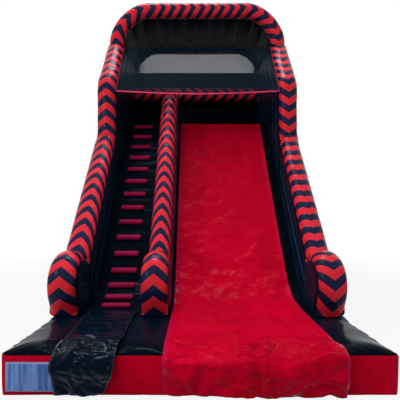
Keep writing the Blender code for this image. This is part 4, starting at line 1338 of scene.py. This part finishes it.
def front_fall(lip_height, hem_height, knee):
    """From the hem up to the mattress's top, for each column; a knee far back makes a sharp lip."""
    fall = np.linspace(0, 1, 28)[:, None]
    y = FRONT - HEM_OUT - (LIP_OUT - HEM_OUT) * fall * np.ones_like(lip_height)
    z = hem_height + (lip_height - hem_height) * fall
    over = np.linspace(0, 1, 40)[1:, None]
    top = FLOOR_TOP + LIFT
    crest = 2 * (OVER_SEAM - 0.25 * lip_height - 0.25 * top)
    lip_y = FRONT + bend(-LIP_OUT, knee, SWELL_DEPTH, over) * np.ones_like(lip_height)
    return np.concatenate((y, lip_y)), np.concatenate((z, bend(lip_height, crest, top, over)))


def lane_rows(start, end):
    """Rows up the lane, close together where the cloth is crumpled."""
    y = np.linspace(start, end, 400)
    z = lane_height(y) + LIFT
    run = length_along(np.stack((y, z), -1))
    near = np.arange(0, min(run[-1], FINE_REACH), FINE_STEP)
    far = np.arange(FINE_REACH, run[-1] - COARSE_STEP, COARSE_STEP)
    spots = np.concatenate((near, far, run[-1:]))
    return np.interp(spots, run, y), np.interp(spots, run, z)


def hems(shares, width, deep=0.0015, reach=0.030):
    """A folded hem along both sides: one more layer of cloth."""
    return deep * within(width * np.minimum(shares, 1 - shares), reach, HEM_BLUR)


print("rows every", FINE_STEP, "m near the front")

# %% Laying a sheet
def lay_cloth(name, edges, lip, hem, folds, materials, columns, knee, end, hem_width):
    """Lays a cloth from its front hem to a far end.

    Edges, lip, hem and folds are functions: where its sides lie, how high its lip and its
    hem hang, and how high its creases rise. The strips at its sides get the second material.
    """
    shares = np.linspace(0, 1, columns)
    fall_y, fall_z = front_fall(lip(shares), hem(shares), knee)
    rest_y, rest_z = lane_rows(float(fall_y[-1, 0]) + FINE_STEP, end)
    y = np.concatenate((fall_y, np.repeat(rest_y[:, None], columns, 1)))
    z = np.concatenate((fall_z, np.repeat(rest_z[:, None], columns, 1)))
    depth = y - FRONT
    left, right = edges(depth, z)
    x = left * (1 - shares) + right * shares
    points = np.stack((x, y, z), -1)
    step = np.linalg.norm(np.diff(points, axis=0), axis=-1)
    run = np.concatenate((np.zeros((1, columns)), np.cumsum(step, axis=0)))
    height = folds(np.stack((x, run), -1), depth, shares)
    section = closed(pushed(points, height + CLOTH), pushed(points, height))
    width, length = float(np.mean(x[:, -1] - x[:, 0])), float(run[-1].mean())
    at_side = np.minimum(shares, 1 - shares)[:-1] * width < hem_width
    slots = np.concatenate((at_side, (False,), at_side, (False,))).astype(int)
    obj = skin(name, section, materials, slots=slots)
    print(name, "cut about", round(width, 3), "by", round(length, 3), "m", len(obj.data.polygons), "faces")
    return obj, width, length


print("a sheet is", CLOTH, "m thick and lies", LIFT, "m over its bed")

# %% [markdown]
# ## The red sliding sheet
#
# On the slope it lies almost flat, with small creases across it. At the foot it crumples
# where riders land, and it breaks into stiff folds where it tips over the mattress's
# front. One lengthwise welded lap joins its two widths of cloth.

# %% Folds of the sliding sheet
FRONT_FADES = (-0.04, 0.30)
FOOT_STARTS, FOOT_FADES = (1.1, 1.7), (2.2, 3.2)
SLOPE_STARTS = (1.6, 2.6)
LOOSENS = (0.10, 0.45)
SHEET_LAP_X = 0.17
LAP_HALF = 0.014
LAP_RISE, LAP_BLUR = 0.001, 0.0015
VALLEY_X = 0.51
VALLEY_REACH, VALLEY_DEPTH = 0.07, 0.030
SIDE_ROLL, SIDE_ROLL_REACH = 0.016, 0.05
SHEET_WIDTH = 1.68
SHEET_CREASES = (
    ((1.05, 0.50), (1.30, -0.05), 0.10, 0.030),
    ((-0.20, 0.44), (0.35, 0.45), 0.035, 0.009),
    ((0.30, 0.44), (0.85, 0.42), 0.035, 0.009),
    ((0.22, 0.34), (0.52, 0.08), 0.05, 0.022),
    ((0.76, 0.30), (0.50, 0.06), 0.05, 0.022),
    ((0.72, 2.54), (0.95, 2.74), 0.06, 0.016),
    ((-0.25, 2.85), (0.58, 2.90), 0.06, 0.007),
)
DRAPE_CREASES = (
    ((-0.50, 0.332), (0.55, 0.300), 0.035, 0.014),
    ((0.60, 0.250), (1.40, 0.352), 0.035, 0.016),
    ((-0.34, 0.34), (-0.08, 0.13), 0.09, 0.030),
    ((-0.08, 0.13), (0.06, 0.00), 0.08, 0.024),
    ((0.72, 0.26), (1.28, 0.17), 0.10, 0.034),
    ((0.56, 0.30), (0.62, 0.02), 0.05, 0.028),
    ((1.00, 0.28), (0.80, 0.02), 0.06, 0.016),
)


def sheet_folds(flat, depth, shares):
    """Facets on the front and at the foot, ripples between them, and single folds on top."""
    x = flat[..., 0]
    spots = np.stack((x, depth), -1)
    on_front = 1 - smooth_step(depth, *FRONT_FADES)
    on_foot = smooth_step(depth, *FOOT_STARTS) * (1 - smooth_step(depth, *FOOT_FADES))
    on_slope = smooth_step(depth, *SLOPE_STARTS)
    on_runout = (1 - on_front) * (1 - on_slope)
    crushed = hill(x, 0.50, 0.32) * hill(depth, 0.10, 0.24)
    loose = on_front * (0.3 + 0.7 * smooth_step(x, *LOOSENS))
    height = loose * (0.060 * facets(flat * (1, 1.4), 0.30, 200) + 0.036 * facets(flat, 0.14, 205))
    height += on_front * 0.008 * facets(flat, 0.055, 208)
    height += crushed * (0.034 * facets(flat, 0.10, 210) + 0.010 * facets(flat, 0.05, 215))
    height += on_foot * (0.044 * facets(flat, 0.22, 220) + 0.012 * facets(flat, 0.08, 225))
    height += (0.007 + 0.011 * on_runout) * (1 + smooth_noise(flat * (1, 0.25), 0.17, 230))
    height += (1 - on_front) * 0.012 * facets(flat * (1, 0.8), 0.30, 235)
    for places, creases in ((spots, SHEET_CREASES), (flat, DRAPE_CREASES)):
        for start, end, width, rise in creases:
            height += rise * crease(places, start, end, width)
    height -= VALLEY_DEPTH * on_front * np.clip(1 - np.abs(x - VALLEY_X) / VALLEY_REACH, 0, 1)
    from_side = SHEET_WIDTH * np.minimum(shares, 1 - shares)
    height += SIDE_ROLL * on_slope * hill(from_side, 0.0, SIDE_ROLL_REACH)
    height += LAP_RISE * within(np.abs(x - SHEET_LAP_X), LAP_HALF, LAP_BLUR)
    return np.maximum(height, 0) + hems(shares, SHEET_WIDTH)


print("sliding sheet:", len(SHEET_CREASES) + len(DRAPE_CREASES), "single folds")

# %% Sliding sheet
sheet_low, sheet_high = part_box("slide_sheet")
HEM_WIDTH = 0.045
EDGE_CLEAR = 0.001
LIP_SHARES = (0.0, 0.43, 0.62, 0.95, 1.0)
LIP_HEIGHTS = (0.343, 0.315, 0.265, 0.365, 0.37)


def lip_of_sheet(shares):
    """How high the sheet's lip lies over the ground, from side to side."""
    return np.interp(shares, LIP_SHARES, LIP_HEIGHTS)


def hem_of_sheet(shares):
    """The hem hangs just clear of the ground and curls up near its right end."""
    waves = 0.022 + 0.006 * (1 + smooth_noise(shares[:, None] * 1.7, 0.12, 260))
    return waves + 0.045 * hill(shares, 0.90, 0.07)


def sheet_edges(depth, z):
    """Straight sides, as the lane's walls hold the sheet."""
    return sheet_low.x + EDGE_CLEAR + 0 * depth, sheet_high.x - EDGE_CLEAR + 0 * depth


sliding_sheet, sheet_width, sheet_length = lay_cloth(
    "sliding_sheet", sheet_edges, lip_of_sheet, hem_of_sheet, sheet_folds, (SHEET_RED, SHEET_HEM),
    columns=112, knee=0.0, end=sheet_high.y, hem_width=HEM_WIDTH,
)
dress(sliding_sheet, "sheet_vinyl", "slide_sheet")

# %% [markdown]
# ## The black mat
#
# Thinner and shinier, and only laid on: it has slid about, so it is full of sharp folds
# that catch the sky. Its bend's knee lies further out, so it goes over in a rounder lip.

# %% Climbing mat
mat_low, mat_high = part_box("climbing_mat")
MAT_WIDTH = 0.60
MAT_FRONT_FADES = (0.0, 0.45)


def mat_folds(flat, depth, shares):
    """Coarse facets on the front, finer ones on top, and a mound where it bulges over the edge."""
    on_front = 1 - smooth_step(depth, *MAT_FRONT_FADES)
    on_top = 1 - on_front
    mound = 0.050 * np.sin(math.pi * shares) ** 0.8 * hill(depth, 0.24, 0.20)
    height = mound + on_front * (0.050 * facets(flat, 0.22, 300) + 0.026 * facets(flat, 0.10, 310))
    height += on_top * (0.026 * facets(flat * (1, 0.7), 0.18, 320) + 0.012 * facets(flat, 0.08, 330))
    return height + hems(shares, MAT_WIDTH, deep=0.002, reach=0.022)


def mat_edges(depth, z):
    """The cloth narrows at its hem, and has been pulled askew on top."""
    below = 1 - smooth_step(z, 0.0, 0.32)
    left = mat_low.x + 0.006 + 0.022 * below - 0.07 * smooth_step(depth, 0.3, 1.3)
    right = mat_high.x - 0.018 - 0.12 * below - 0.03 * smooth_step(depth, 0.2, 1.2)
    return left, right


def lip_of_mat(shares):
    """The lip is highest in the middle and sags at the right."""
    return 0.30 + 0.02 * np.sin(math.pi * shares) - 0.03 * smooth_step(shares, 0.75, 1.0)


def hem_of_mat(shares):
    """The hem hangs just clear of the ground and lifts at its right end."""
    waves = 0.034 + 0.006 * (1 + smooth_noise(shares[:, None], 0.15, 360))
    return waves + 0.03 * smooth_step(shares, 0.8, 1.0)


# The mat's hem strips take the lighter hem colour, a painted highlight along its edges.
climbing_mat, mat_width, mat_length = lay_cloth(
    "climbing_mat_sheet", mat_edges, lip_of_mat, hem_of_mat, mat_folds, (MAT_BLACK, MAT_HEM_HIGHLIGHT),
    columns=60, knee=-0.09, end=mat_high.y, hem_width=0.012,
)
dress(climbing_mat, "black_vinyl", "climbing_mat")

# %% [markdown]
# ## Nets
#
# A knitted net closes the space between the posts, and another the rear window. At this
# distance a net reads as a grey veil, but it is modelled thread by thread: flat strands
# twelve millimetres apart, upright ones in front of level ones. The veil's darkness comes
# from the share of the view that the strands cover.

# %% Nets
MESH_PITCH = 0.012
STRAND_WIDTH = 0.0038
STRAND_THICKNESS = 0.0012
STRAND_CORNERS = ((-1, 0), (1, 0), (1, 1), (-1, 1))


def ribbon_net(name, point, width, height, segments):
    """Strands over a surface given by point(across, up), as flat closed ribbons."""
    columns, rows = round(width / MESH_PITCH), round(height / MESH_PITCH)
    verts, faces = [], []

    def strand(line, side, out):
        first = len(verts)
        for spot in line:
            for a, b in STRAND_CORNERS:
                verts.append(tuple(spot + side * a * STRAND_WIDTH / 2 + out * b * STRAND_THICKNESS))
        for at in range(first, len(verts) - 4, 4):
            faces.extend((at + k, at + (k + 1) % 4, at + 4 + (k + 1) % 4, at + 4 + k) for k in range(4))
        last = len(verts) - 4
        faces.append((first + 3, first + 2, first + 1, first))
        faces.append((last, last + 1, last + 2, last + 3))

    side = unit(point(0.6, 0.5) - point(0.4, 0.5))
    rise = unit(point(0.5, 0.9) - point(0.5, 0.1))
    out = np.cross(side, rise)
    for c in range(columns + 1):
        strand([point(c / columns, s) for s in np.linspace(0, 1, segments[0] + 1)], side, out)
    for r in range(rows + 1):
        strand([point(s, r / rows) for s in np.linspace(0, 1, segments[1] + 1)], rise, -out)
    print(name, columns + 1, "upright and", rows + 1, "level strands")
    return plain_mesh(name, verts, faces, NET)


print("net strands every", MESH_PITCH, "m")

# %% Hang both nets
NET_LOW = 4.02
NET_SETBACK = 0.06
NET_SAG = 0.07
NET_CLEAR = 0.008
WINDOW_CLEAR = 0.006
SILL_OVERLAP = 0.004
CROWN_CLEAR = 0.002
LEAN = LEAN_END - POST
window_low, window_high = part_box("window_net")


def front_net_point(across, up):
    """The front net leans back with the posts and sags between them."""
    reach = INNER - NET_CLEAR
    low = NET_LOW - NET_SAG * math.sin(math.pi * across) * (1 - up) ** 2
    high = HOOD_FOOT - NET_SETBACK
    z = low + (high - low) * up
    share = (z - NET_LOW) / (high - NET_LOW)
    return np.array((-reach + 2 * reach * across, POST + NET_SETBACK + share * LEAN, z))


def window_point(across, up):
    """The window's net follows the rear hoop's inner edge and stands on the sill."""
    x = (INNER - WINDOW_CLEAR) * (2 * across - 1)
    into = max(abs(x) - (HALF - ARCH_CORNER), 0.0)
    crown = ARCH_TOP - ARCH_CORNER + math.sqrt((ARCH_CORNER - 2 * TUBE) ** 2 - into**2)
    low, high = window_low.z - SILL_OVERLAP, crown - CROWN_CLEAR
    return np.array((x, (window_low.y + window_high.y) / 2, low + (high - low) * up))


front_net = ribbon_net("front_net_mesh", front_net_point, width=3.03, height=1.55, segments=(6, 16))
dress(front_net, "net_cord", "front_net")
window_net = ribbon_net("window_net_mesh", window_point, width=3.04, height=0.51, segments=(1, 30))
dress(window_net, "net_cord", "window_net")

# %% [markdown]
# ## Binding tapes
#
# The front net's lower edge is bound with bright red tape, folded over the edge and sewn,
# and its upper edge with a narrower one, nearly black. Each is a flat loft along the
# edge, and the same loft, in a dull red, pipes the posts' inner edges.

# %% Bindings
NET_EDGES = (("lower", 0.0, -1, 0.040, TAPE), ("upper", 1.0, 1, 0.018, DARK_TAPE))
EDGE_OVERLAP = 0.45
TAPE_THICKNESS = 0.008
POST_EDGES = (("left", 0.0, 1), ("right", 1.0, -1))
PIPING_WIDTH, PIPING_THICKNESS = 0.014, 0.010
PIPING_ASIDE, PIPING_BEFORE = 0.004, -0.012


def tape(name, line, side, out, width, thickness, material):
    """A flat tape with rounded edges along a line of points."""
    line = np.array(line)
    turns = np.linspace(0, 2 * math.pi, 17)
    across = np.sign(np.cos(turns)) * np.abs(np.cos(turns)) ** 0.4 * width / 2
    thick = np.sin(turns) * thickness / 2
    crimp = 1 + 0.12 * smooth_noise(length_along(line)[:, None], 0.03, 400)
    points = line[:, None] + across[:, None] * side + (thick * crimp[:, None])[..., None] * out
    points[:, -1] = points[:, 0]
    return skin(name, points, (material,))


def make_bindings():
    """Tapes along the front net's edges, and piping beside the posts."""
    slope = unit(np.array((0.0, LEAN, HOOD_FOOT - NET_SETBACK - NET_LOW)))
    out = np.array((0.0, -slope[2], slope[1]))
    for name, up, shift, width, cloth in NET_EDGES:
        line = [front_net_point(i / 60, up) + slope * shift * EDGE_OVERLAP * width for i in range(61)]
        obj = tape(f"net_{name}_tape", line, slope, out, width, TAPE_THICKNESS, cloth)
        dress(obj, "red_binding", f"front_net_{name}_binding")
    level = np.array((1.0, 0, 0))
    for name, across, sign in POST_EDGES:
        beside = np.array((sign * PIPING_ASIDE, PIPING_BEFORE, 0))
        line = [front_net_point(across, i / 50) + beside for i in range(51)]
        obj = tape(f"net_{name}_piping", line, level, out, PIPING_WIDTH, PIPING_THICKNESS, PIPING)
        dress(obj, "red_binding")
    print("bindings:", len(NET_EDGES), "tapes and", len(POST_EDGES), "pipings")


make_bindings()

# %% [markdown]
# ## The pale patch
#
# A bare rectangle of pale vinyl is welded to the front's left end. It is a thin sheet
# that follows the mattress's bulge, with a welded border of a second finish all round and
# upright wrinkles. Its streaks of tone are noise that is stretched along Z.

# %% Streaked vinyl
STREAKS_PER_METRE = 26.0
STREAKS_LOW, STREAKS_HIGH = 0.36, 0.64


def streaked(name, colours, roughness, shine):
    """Coated fabric with upright streaks, where a thin sheet is drawn tight between its edges."""
    finish = Finish(name)
    stretch = {0: finish.place, 1: (STREAKS_PER_METRE, 1.0, 1.6)}
    drawn = finish.node("ShaderNodeVectorMath", stretch, operation="MULTIPLY")
    streaks = finish.node("ShaderNodeTexNoise", {"Vector": drawn, "Scale": 1.0, "Detail": 2.0})
    tone = finish.mix(finish.spread(streaks, STREAKS_LOW, STREAKS_HIGH, 0.0, 1.0), *colours)
    finish.set(Base_Color=tone, Specular_IOR_Level=shine, Specular_Tint=SKY_TINT)
    coated(finish, roughness, wrinkle_size=0.06, wrinkle_depth=0.003)
    return finish.material


PALE = streaked("pale_patch", ((0.17, 0.27, 0.56), (0.055, 0.115, 0.32)), 0.35, 0.15)
print("pale vinyl made,", STREAKS_PER_METRE, "streaks a metre")

# %% Pale patch
BORDER = 0.014
WELD_RISE, WELD_REACH, WELD_BLUR = 0.0012, 0.018, 0.0015
PATCH_OUT = 0.008
PATCH_DEEP = 0.006
PATCH_CLOTH = 0.002
PATCH_SLACK = 0.004
EDGE_HELD = 0.02


def make_patch():
    """The patch over its frame piece, its face pushed out by the wrinkles."""
    low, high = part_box("sign_patch")
    x = np.linspace(low.x, high.x, 90)
    z = np.linspace(low.z, high.z, 50)[:, None]
    grid = grid_of(x, FRONT - PATCH_OUT - belly(x, z / (FLOOR_TOP - SEAM_DROP)), z)
    from_edge = np.minimum(np.minimum(x - low.x, high.x - x), np.minimum(z - low.z, high.z - z))
    streaks = smooth_noise(grid[..., ::2] * (1, 0.15), 0.028, 500)
    height = WELD_RISE * within(from_edge, WELD_REACH, WELD_BLUR)
    height = height + PATCH_SLACK * (1 + streaks) * np.clip(from_edge / EDGE_HELD, 0, 1)
    section = closed(pushed(grid, height + PATCH_CLOTH), grid + np.array((0, PATCH_DEEP, 0)))
    slots = np.zeros((len(z) - 1, 2 * len(x)), int)
    slots[:, : len(x) - 1] = from_edge[1:, 1:] < BORDER
    obj = skin("pale_patch", section, (PALE, PALE_BORDER), slots=slots)
    dress(obj, "pale_patch", "sign_patch")
    print("pale patch", round(high.x - low.x, 3), "by", round(high.z - low.z, 3), "m")


make_patch()

# %% [markdown]
# ## Zips
#
# Two deflation zips lie low on the rear. A zip is a woven tape with two rows of moulded
# teeth that mesh, here small blocks in one row, and a welt above it from which a vinyl
# flap hangs as a rain cover. The steel slider runs along the teeth.

# %% Parts of a zip
FLAP_CLEAR = 0.0008
FLAP_CLOTH = 0.0014
FLAP_HEM, FLAP_HEM_REACH, FLAP_HEM_BLUR = 0.0008, 0.012, 0.001
BOX_SIDES = ((0, 1, 3, 2), (4, 6, 7, 5), (0, 4, 5, 1), (2, 3, 7, 6), (0, 2, 6, 4), (1, 5, 7, 3))


def blocks(name, boxes, material):
    """One mesh of many boxes, each given by its lowest and highest corner."""
    verts, faces = [], []
    for box in boxes:
        faces += [tuple(len(verts) + i for i in side) for side in BOX_SIDES]
        verts += [(box[i][0], box[j][1], box[k][2]) for i, j, k in np.ndindex(2, 2, 2)]
    return plain_mesh(name, verts, faces, material)


def flap_skin(name, low, high):
    """A flat flap of cloth with a hem round its three free edges."""
    x = np.linspace(low.x, high.x, 90)
    z = np.linspace(low.z, high.z, 24)[:, None]
    front = grid_of(x, low.y + FLAP_CLEAR, z)
    from_edge = np.minimum(np.minimum(x - low.x, high.x - x), z - low.z)
    hem = FLAP_HEM * within(from_edge, FLAP_HEM_REACH, FLAP_HEM_BLUR)
    lift = 0.0007 * smooth_noise(front[..., ::2], 0.05, 600) * np.clip(from_edge / EDGE_HELD, 0, 1)
    back = front + (FLAP_CLOTH + hem + lift)[..., None] * np.array((0.0, 1.0, 0.0))
    return skin(name, closed(front, back), (BLACK,))


print("blocks and flaps ready")

# %% Zips
TAPE_DEEP = 0.003
WELT_HEIGHT = 0.010
TOOTH_PITCH = 0.0080
TOOTH_SHARE = 0.6
TOOTH_HALF = 0.0045
TOOTH_OUT = 0.0038
TEETH_FROM, TEETH_TO = 0.004, 0.006


def make_zip(side):
    """Tape and welt, teeth, and the flap that hangs over them."""
    low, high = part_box(f"zip_{side}_track")
    slider_low, slider_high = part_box(f"zip_{side}_slider")
    middle = (slider_low.z + slider_high.z) / 2
    face, welt = low.y + TAPE_DEEP, high.z - WELT_HEIGHT
    plates = (((low.x, low.y, low.z), (high.x, face, welt)), ((low.x, low.y, welt), tuple(high)))
    dress(blocks(f"zip_{side}_tape", plates, WEBBING), "black_webbing", f"zip_{side}_track")
    teeth = []
    for x in np.arange(low.x + TEETH_FROM, high.x - TEETH_TO, TOOTH_PITCH):
        far = (x + TOOTH_SHARE * TOOTH_PITCH, face + TOOTH_OUT, middle + TOOTH_HALF)
        teeth.append(((x, face, middle - TOOTH_HALF), far))
    dress(blocks(f"zip_{side}_teeth", teeth, STEEL), "zinc_steel")
    flap = flap_skin(f"zip_{side}_cover", *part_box(f"zip_{side}_flap"))
    dress(flap, "black_vinyl", f"zip_{side}_flap", body=f"zip_{side}_flap")
    print("zip", side, "with", len(teeth), "teeth")


make_zip("left")
make_zip("right")

# %% [markdown]
# ## Inflation sleeve
#
# The blower's hose is pushed into a vinyl sleeve at the rear and tied with a strap. The
# sleeve is a soft tube: one closed outline, out along its outer face and back inside, is
# carried once round. The strap draws it in a little, and the cloth folds lengthwise.

# %% Inflation sleeve
SLEEVE_CLEAR = 0.004
SLEEVE_CLOTH = 0.003
OUTERMOST = 0.0006
STRAP_SINK = 0.002
STRAP_REACH = 0.05
CUFF_RISE, CUFF_REACH, CUFF_BLUR = 0.0015, 0.020, 0.0015


def make_sleeve():
    """The sleeve, carried once round, with its strap's draw and its folds."""
    low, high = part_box("inflation_sleeve")
    strap_low, strap_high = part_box("sleeve_strap")
    middle_x, middle_z = (low.x + high.x) / 2, (low.z + high.z) / 2
    radius = (high.z - low.z) / 2
    y = np.linspace(low.y, high.y, 70)
    turns = np.linspace(0, 2 * math.pi, 121)[:, None]
    round_way = np.concatenate((np.cos(turns), np.sin(turns)), -1)
    near_strap = hill(y, (strap_low.y + strap_high.y) / 2, STRAP_REACH)
    lengthwise = smooth_noise(round_way, 0.16, 610)[:, None]
    soft = smooth_noise(grid_of(turns * 0.14, y), 0.09, 620) * np.sin(turns / 2) ** 2
    cuff = CUFF_RISE * within(high.y - y, CUFF_REACH, CUFF_BLUR)
    outer = radius - SLEEVE_CLEAR + 0.003 * lengthwise * (0.4 + near_strap) + 0.002 * soft
    outer = np.minimum(outer + cuff, radius - OUTERMOST)
    outer = np.where(near_strap > 0.5, np.minimum(outer, radius - STRAP_SINK), outer)
    reach = closed(outer, outer - SLEEVE_CLOTH - cuff)
    depth = np.concatenate((y, y[::-1], y[:1]))
    points = grid_of(middle_x + reach * round_way[:, :1], depth, middle_z + reach * round_way[:, 1:])
    points[-1] = points[0]
    dress(skin("sleeve_cloth", points, (BLACK,)), "black_vinyl", "inflation_sleeve")
    print("sleeve of", round(2 * radius, 3), "m across and", round(high.y - low.y, 2), "m long")


make_sleeve()

# %% [markdown]
# ## Stitches and steel
#
# The frame's own pieces stay where they are hard: the D-rings, the zip sliders, and the
# anchor patches with the webbing loops that hold the rings. They get their finishes here,
# and each patch gets its seam, a frame of thread dashes with a cross in it.

# %% Stitches
STITCH = 0.007
STITCH_PITCH = STITCH * 1.35
THREAD_HALF = 0.0007
THREAD_OUT = 0.0008
PATCH_THICKNESS = 0.0052
THREAD_CLEAR = 0.0003
SEAM_INSET = 0.010
SEAM_OVER_LOOP = 0.030
DASH_FACES = [(0, 1, 2, 3), (7, 6, 5, 4)]
DASH_FACES += [(k, (k + 1) % 4, 4 + (k + 1) % 4, 4 + k) for k in range(4)]


def stitch_row(start, end):
    """Dashes of thread from start to end on a face that looks along X."""
    start, end = np.array(start), np.array(end)
    length = np.linalg.norm(end - start)
    along = (end - start) / length
    side = np.cross(along, (1.0, 0.0, 0.0)) * THREAD_HALF
    rows = []
    for at in np.arange(0.002, length - STITCH, STITCH_PITCH):
        near, far = start + along * at, start + along * (at + STITCH)
        rows.append(np.array((near - side, near + side, far + side, far - side)))
    return rows


def make_stitches(name, side):
    """A frame of thread dashes round a patch, with a cross in it."""
    low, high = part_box(f"anchor_{name}_patch")
    face = side * (HALF + THREAD_CLEAR + PATCH_THICKNESS)
    y0, y1 = low.y + SEAM_INSET, high.y - SEAM_INSET
    z0, z1 = low.z + SEAM_OVER_LOOP, high.z - SEAM_INSET
    ends = [((y0, z0), (y1, z0)), ((y1, z0), (y1, z1)), ((y1, z1), (y0, z1)), ((y0, z1), (y0, z0))]
    ends += [((y0, z0), (y1, z1)), ((y0, z1), (y1, z0))]
    verts, faces = [], []
    for start, end in ends:
        for dash in stitch_row((face, *start), (face, *end)):
            faces += [tuple(len(verts) + i for i in corners) for corners in DASH_FACES]
            verts += [tuple(p) for p in np.concatenate((dash, dash + (side * THREAD_OUT, 0, 0)))]
    dress(plain_mesh(f"anchor_{name}_stitches", verts, faces, THREAD), "black_webbing")


print("a dash of thread every", round(STITCH_PITCH, 4), "m")

# %% Anchors and hardware
def finish_node(node, material):
    """Gives a piece of the frame, which stays as it is, its finish."""
    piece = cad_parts[node]
    piece.data.materials.clear()
    piece.data.materials.append(material)
    for polygon in piece.data.polygons:
        polygon.material_index = 0


for side_name, side_sign in (("left", -1), ("right", 1)):
    finish_node(f"zip_{side_name}_slider", STEEL)
    for place_name in ("front", "middle", "rear"):
        finish_node(f"anchor_{side_name}_{place_name}_ring", STEEL)
        finish_node(f"anchor_{side_name}_{place_name}_patch", WEBBING)
        make_stitches(f"{side_name}_{place_name}", side_sign)
finish_node("sleeve_strap", WEBBING)
print("six anchors stitched, hardware finished")

# %% [markdown]
# ## Light, floor and background
#
# The picture was cut out on white. A wide soft panel overhead and a high one in front
# stand for the open sky; neither is mirrored, so that they light the vinyl without a
# glare. What the gloss does mirror is a smaller, bluish panel high over the rear, which
# draws the lights on the crests, and a small window on the left. A bluish fill lights the
# shadows. The camera and glossy vinyl see the background as white, through the light
# path, so that white costs no extra light on the slide. The floor is a middling grey in
# itself, nearly white to the camera, and keeps the slide's soft shadow.

# %% World and floor
WHITE = (1.0, 1.0, 1.0)
FILL = 0.32
FILL_COLOUR = (0.80, 0.90, 1.0)
FLOOR_REACH = 60.0
FLOOR_DROP = 0.001
NEAR_RADIUS, FAR_RADIUS = 6.0, 12.0
NEAR_WHITE = 0.88


def background_rays(network):
    """1 for what the camera sees straight, in a mirror or through glass."""
    rays = network.node("ShaderNodeLightPath", {}).node
    seen = network.math("MAXIMUM", rays.outputs["Is Camera Ray"], rays.outputs["Is Glossy Ray"])
    return network.math("MAXIMUM", seen, rays.outputs["Is Transmission Ray"])


def make_world():
    """White behind the slide, and a bluish, even fill of light."""
    world = bpy.data.worlds.new("studio")
    world.use_nodes = True
    bpy.context.scene.world = world
    sky = Network(world.node_tree)
    fill = sky.node("ShaderNodeBackground", {0: (*FILL_COLOUR, 1.0), 1: FILL})
    white = sky.node("ShaderNodeBackground", {0: (*WHITE, 1.0), 1: 1.0})
    whole = sky.node("ShaderNodeMixShader", {0: background_rays(sky), 1: fill, 2: white})
    sky.feed(sky.tree.nodes["World Output"].inputs["Surface"], whole)


def make_floor():
    """Nearly white near the slide, where it keeps the shadow, and quite white far away."""
    finish = Finish("floor")
    finish.set(Base_Color=(0.55, 0.55, 0.55), Roughness=0.9, Specular_IOR_Level=0.0)
    glow = finish.node("ShaderNodeEmission", {"Color": (*WHITE, 1.0), "Strength": 1.0})
    far = finish.node("ShaderNodeVectorMath", {0: finish.place}, "Value", operation="LENGTH")
    white_share = finish.spread(far, NEAR_RADIUS, FAR_RADIUS, NEAR_WHITE, 1.0)
    share = finish.math("MULTIPLY", background_rays(finish), white_share)
    blend = finish.node("ShaderNodeMixShader", {0: share, 1: finish.shader.outputs[0], 2: glow})
    finish.feed(finish.tree.nodes["Material Output"].inputs["Surface"], blend)
    corners = [(-1, -1), (1, -1), (1, 1), (-1, 1)]
    verts = [(x * FLOOR_REACH, y * FLOOR_REACH, -FLOOR_DROP) for x, y in corners]
    plain_mesh("floor", verts, [(0, 1, 2, 3)], finish.material)


make_world()
make_floor()
print("world and floor made, with a fill of", FILL)

# %% Lamps
def softbox(name, place, target, size, watts, colour=WHITE, mirrored=True):
    """A soft elliptical panel of light at a place, turned to its target."""
    data = bpy.data.lights.new(name, "AREA")
    data.shape = "ELLIPSE"
    data.size, data.size_y = size
    data.energy = watts
    data.color = colour
    lamp = add_object(name, data)
    lamp.location = place
    lamp.rotation_euler = (Vector(target) - lamp.location).to_track_quat("-Z", "Y").to_euler()
    lamp.visible_glossy = mirrored
    print(name, "at", place, watts, "W")


softbox("overhead", (-1.0, 0.0, 15.0), (0.0, -0.5, 1.0), (18.0, 18.0), 600.0, mirrored=False)
softbox("sky", (-1.0, 2.5, 14.0), (0.0, -2.5, 0.5), (6.0, 3.0), 820.0, (0.82, 0.92, 1.0))
softbox("key", (-2.5, -11.5, 11.5), (0.0, -2.0, 1.0), (6.0, 6.0), 620.0, mirrored=False)
softbox("side_window", (-8.0, -8.0, 7.0), (-0.5, -2.0, 1.0), (1.2, 1.2), 220.0)
bpy.context.scene.view_settings.view_transform = "Standard"
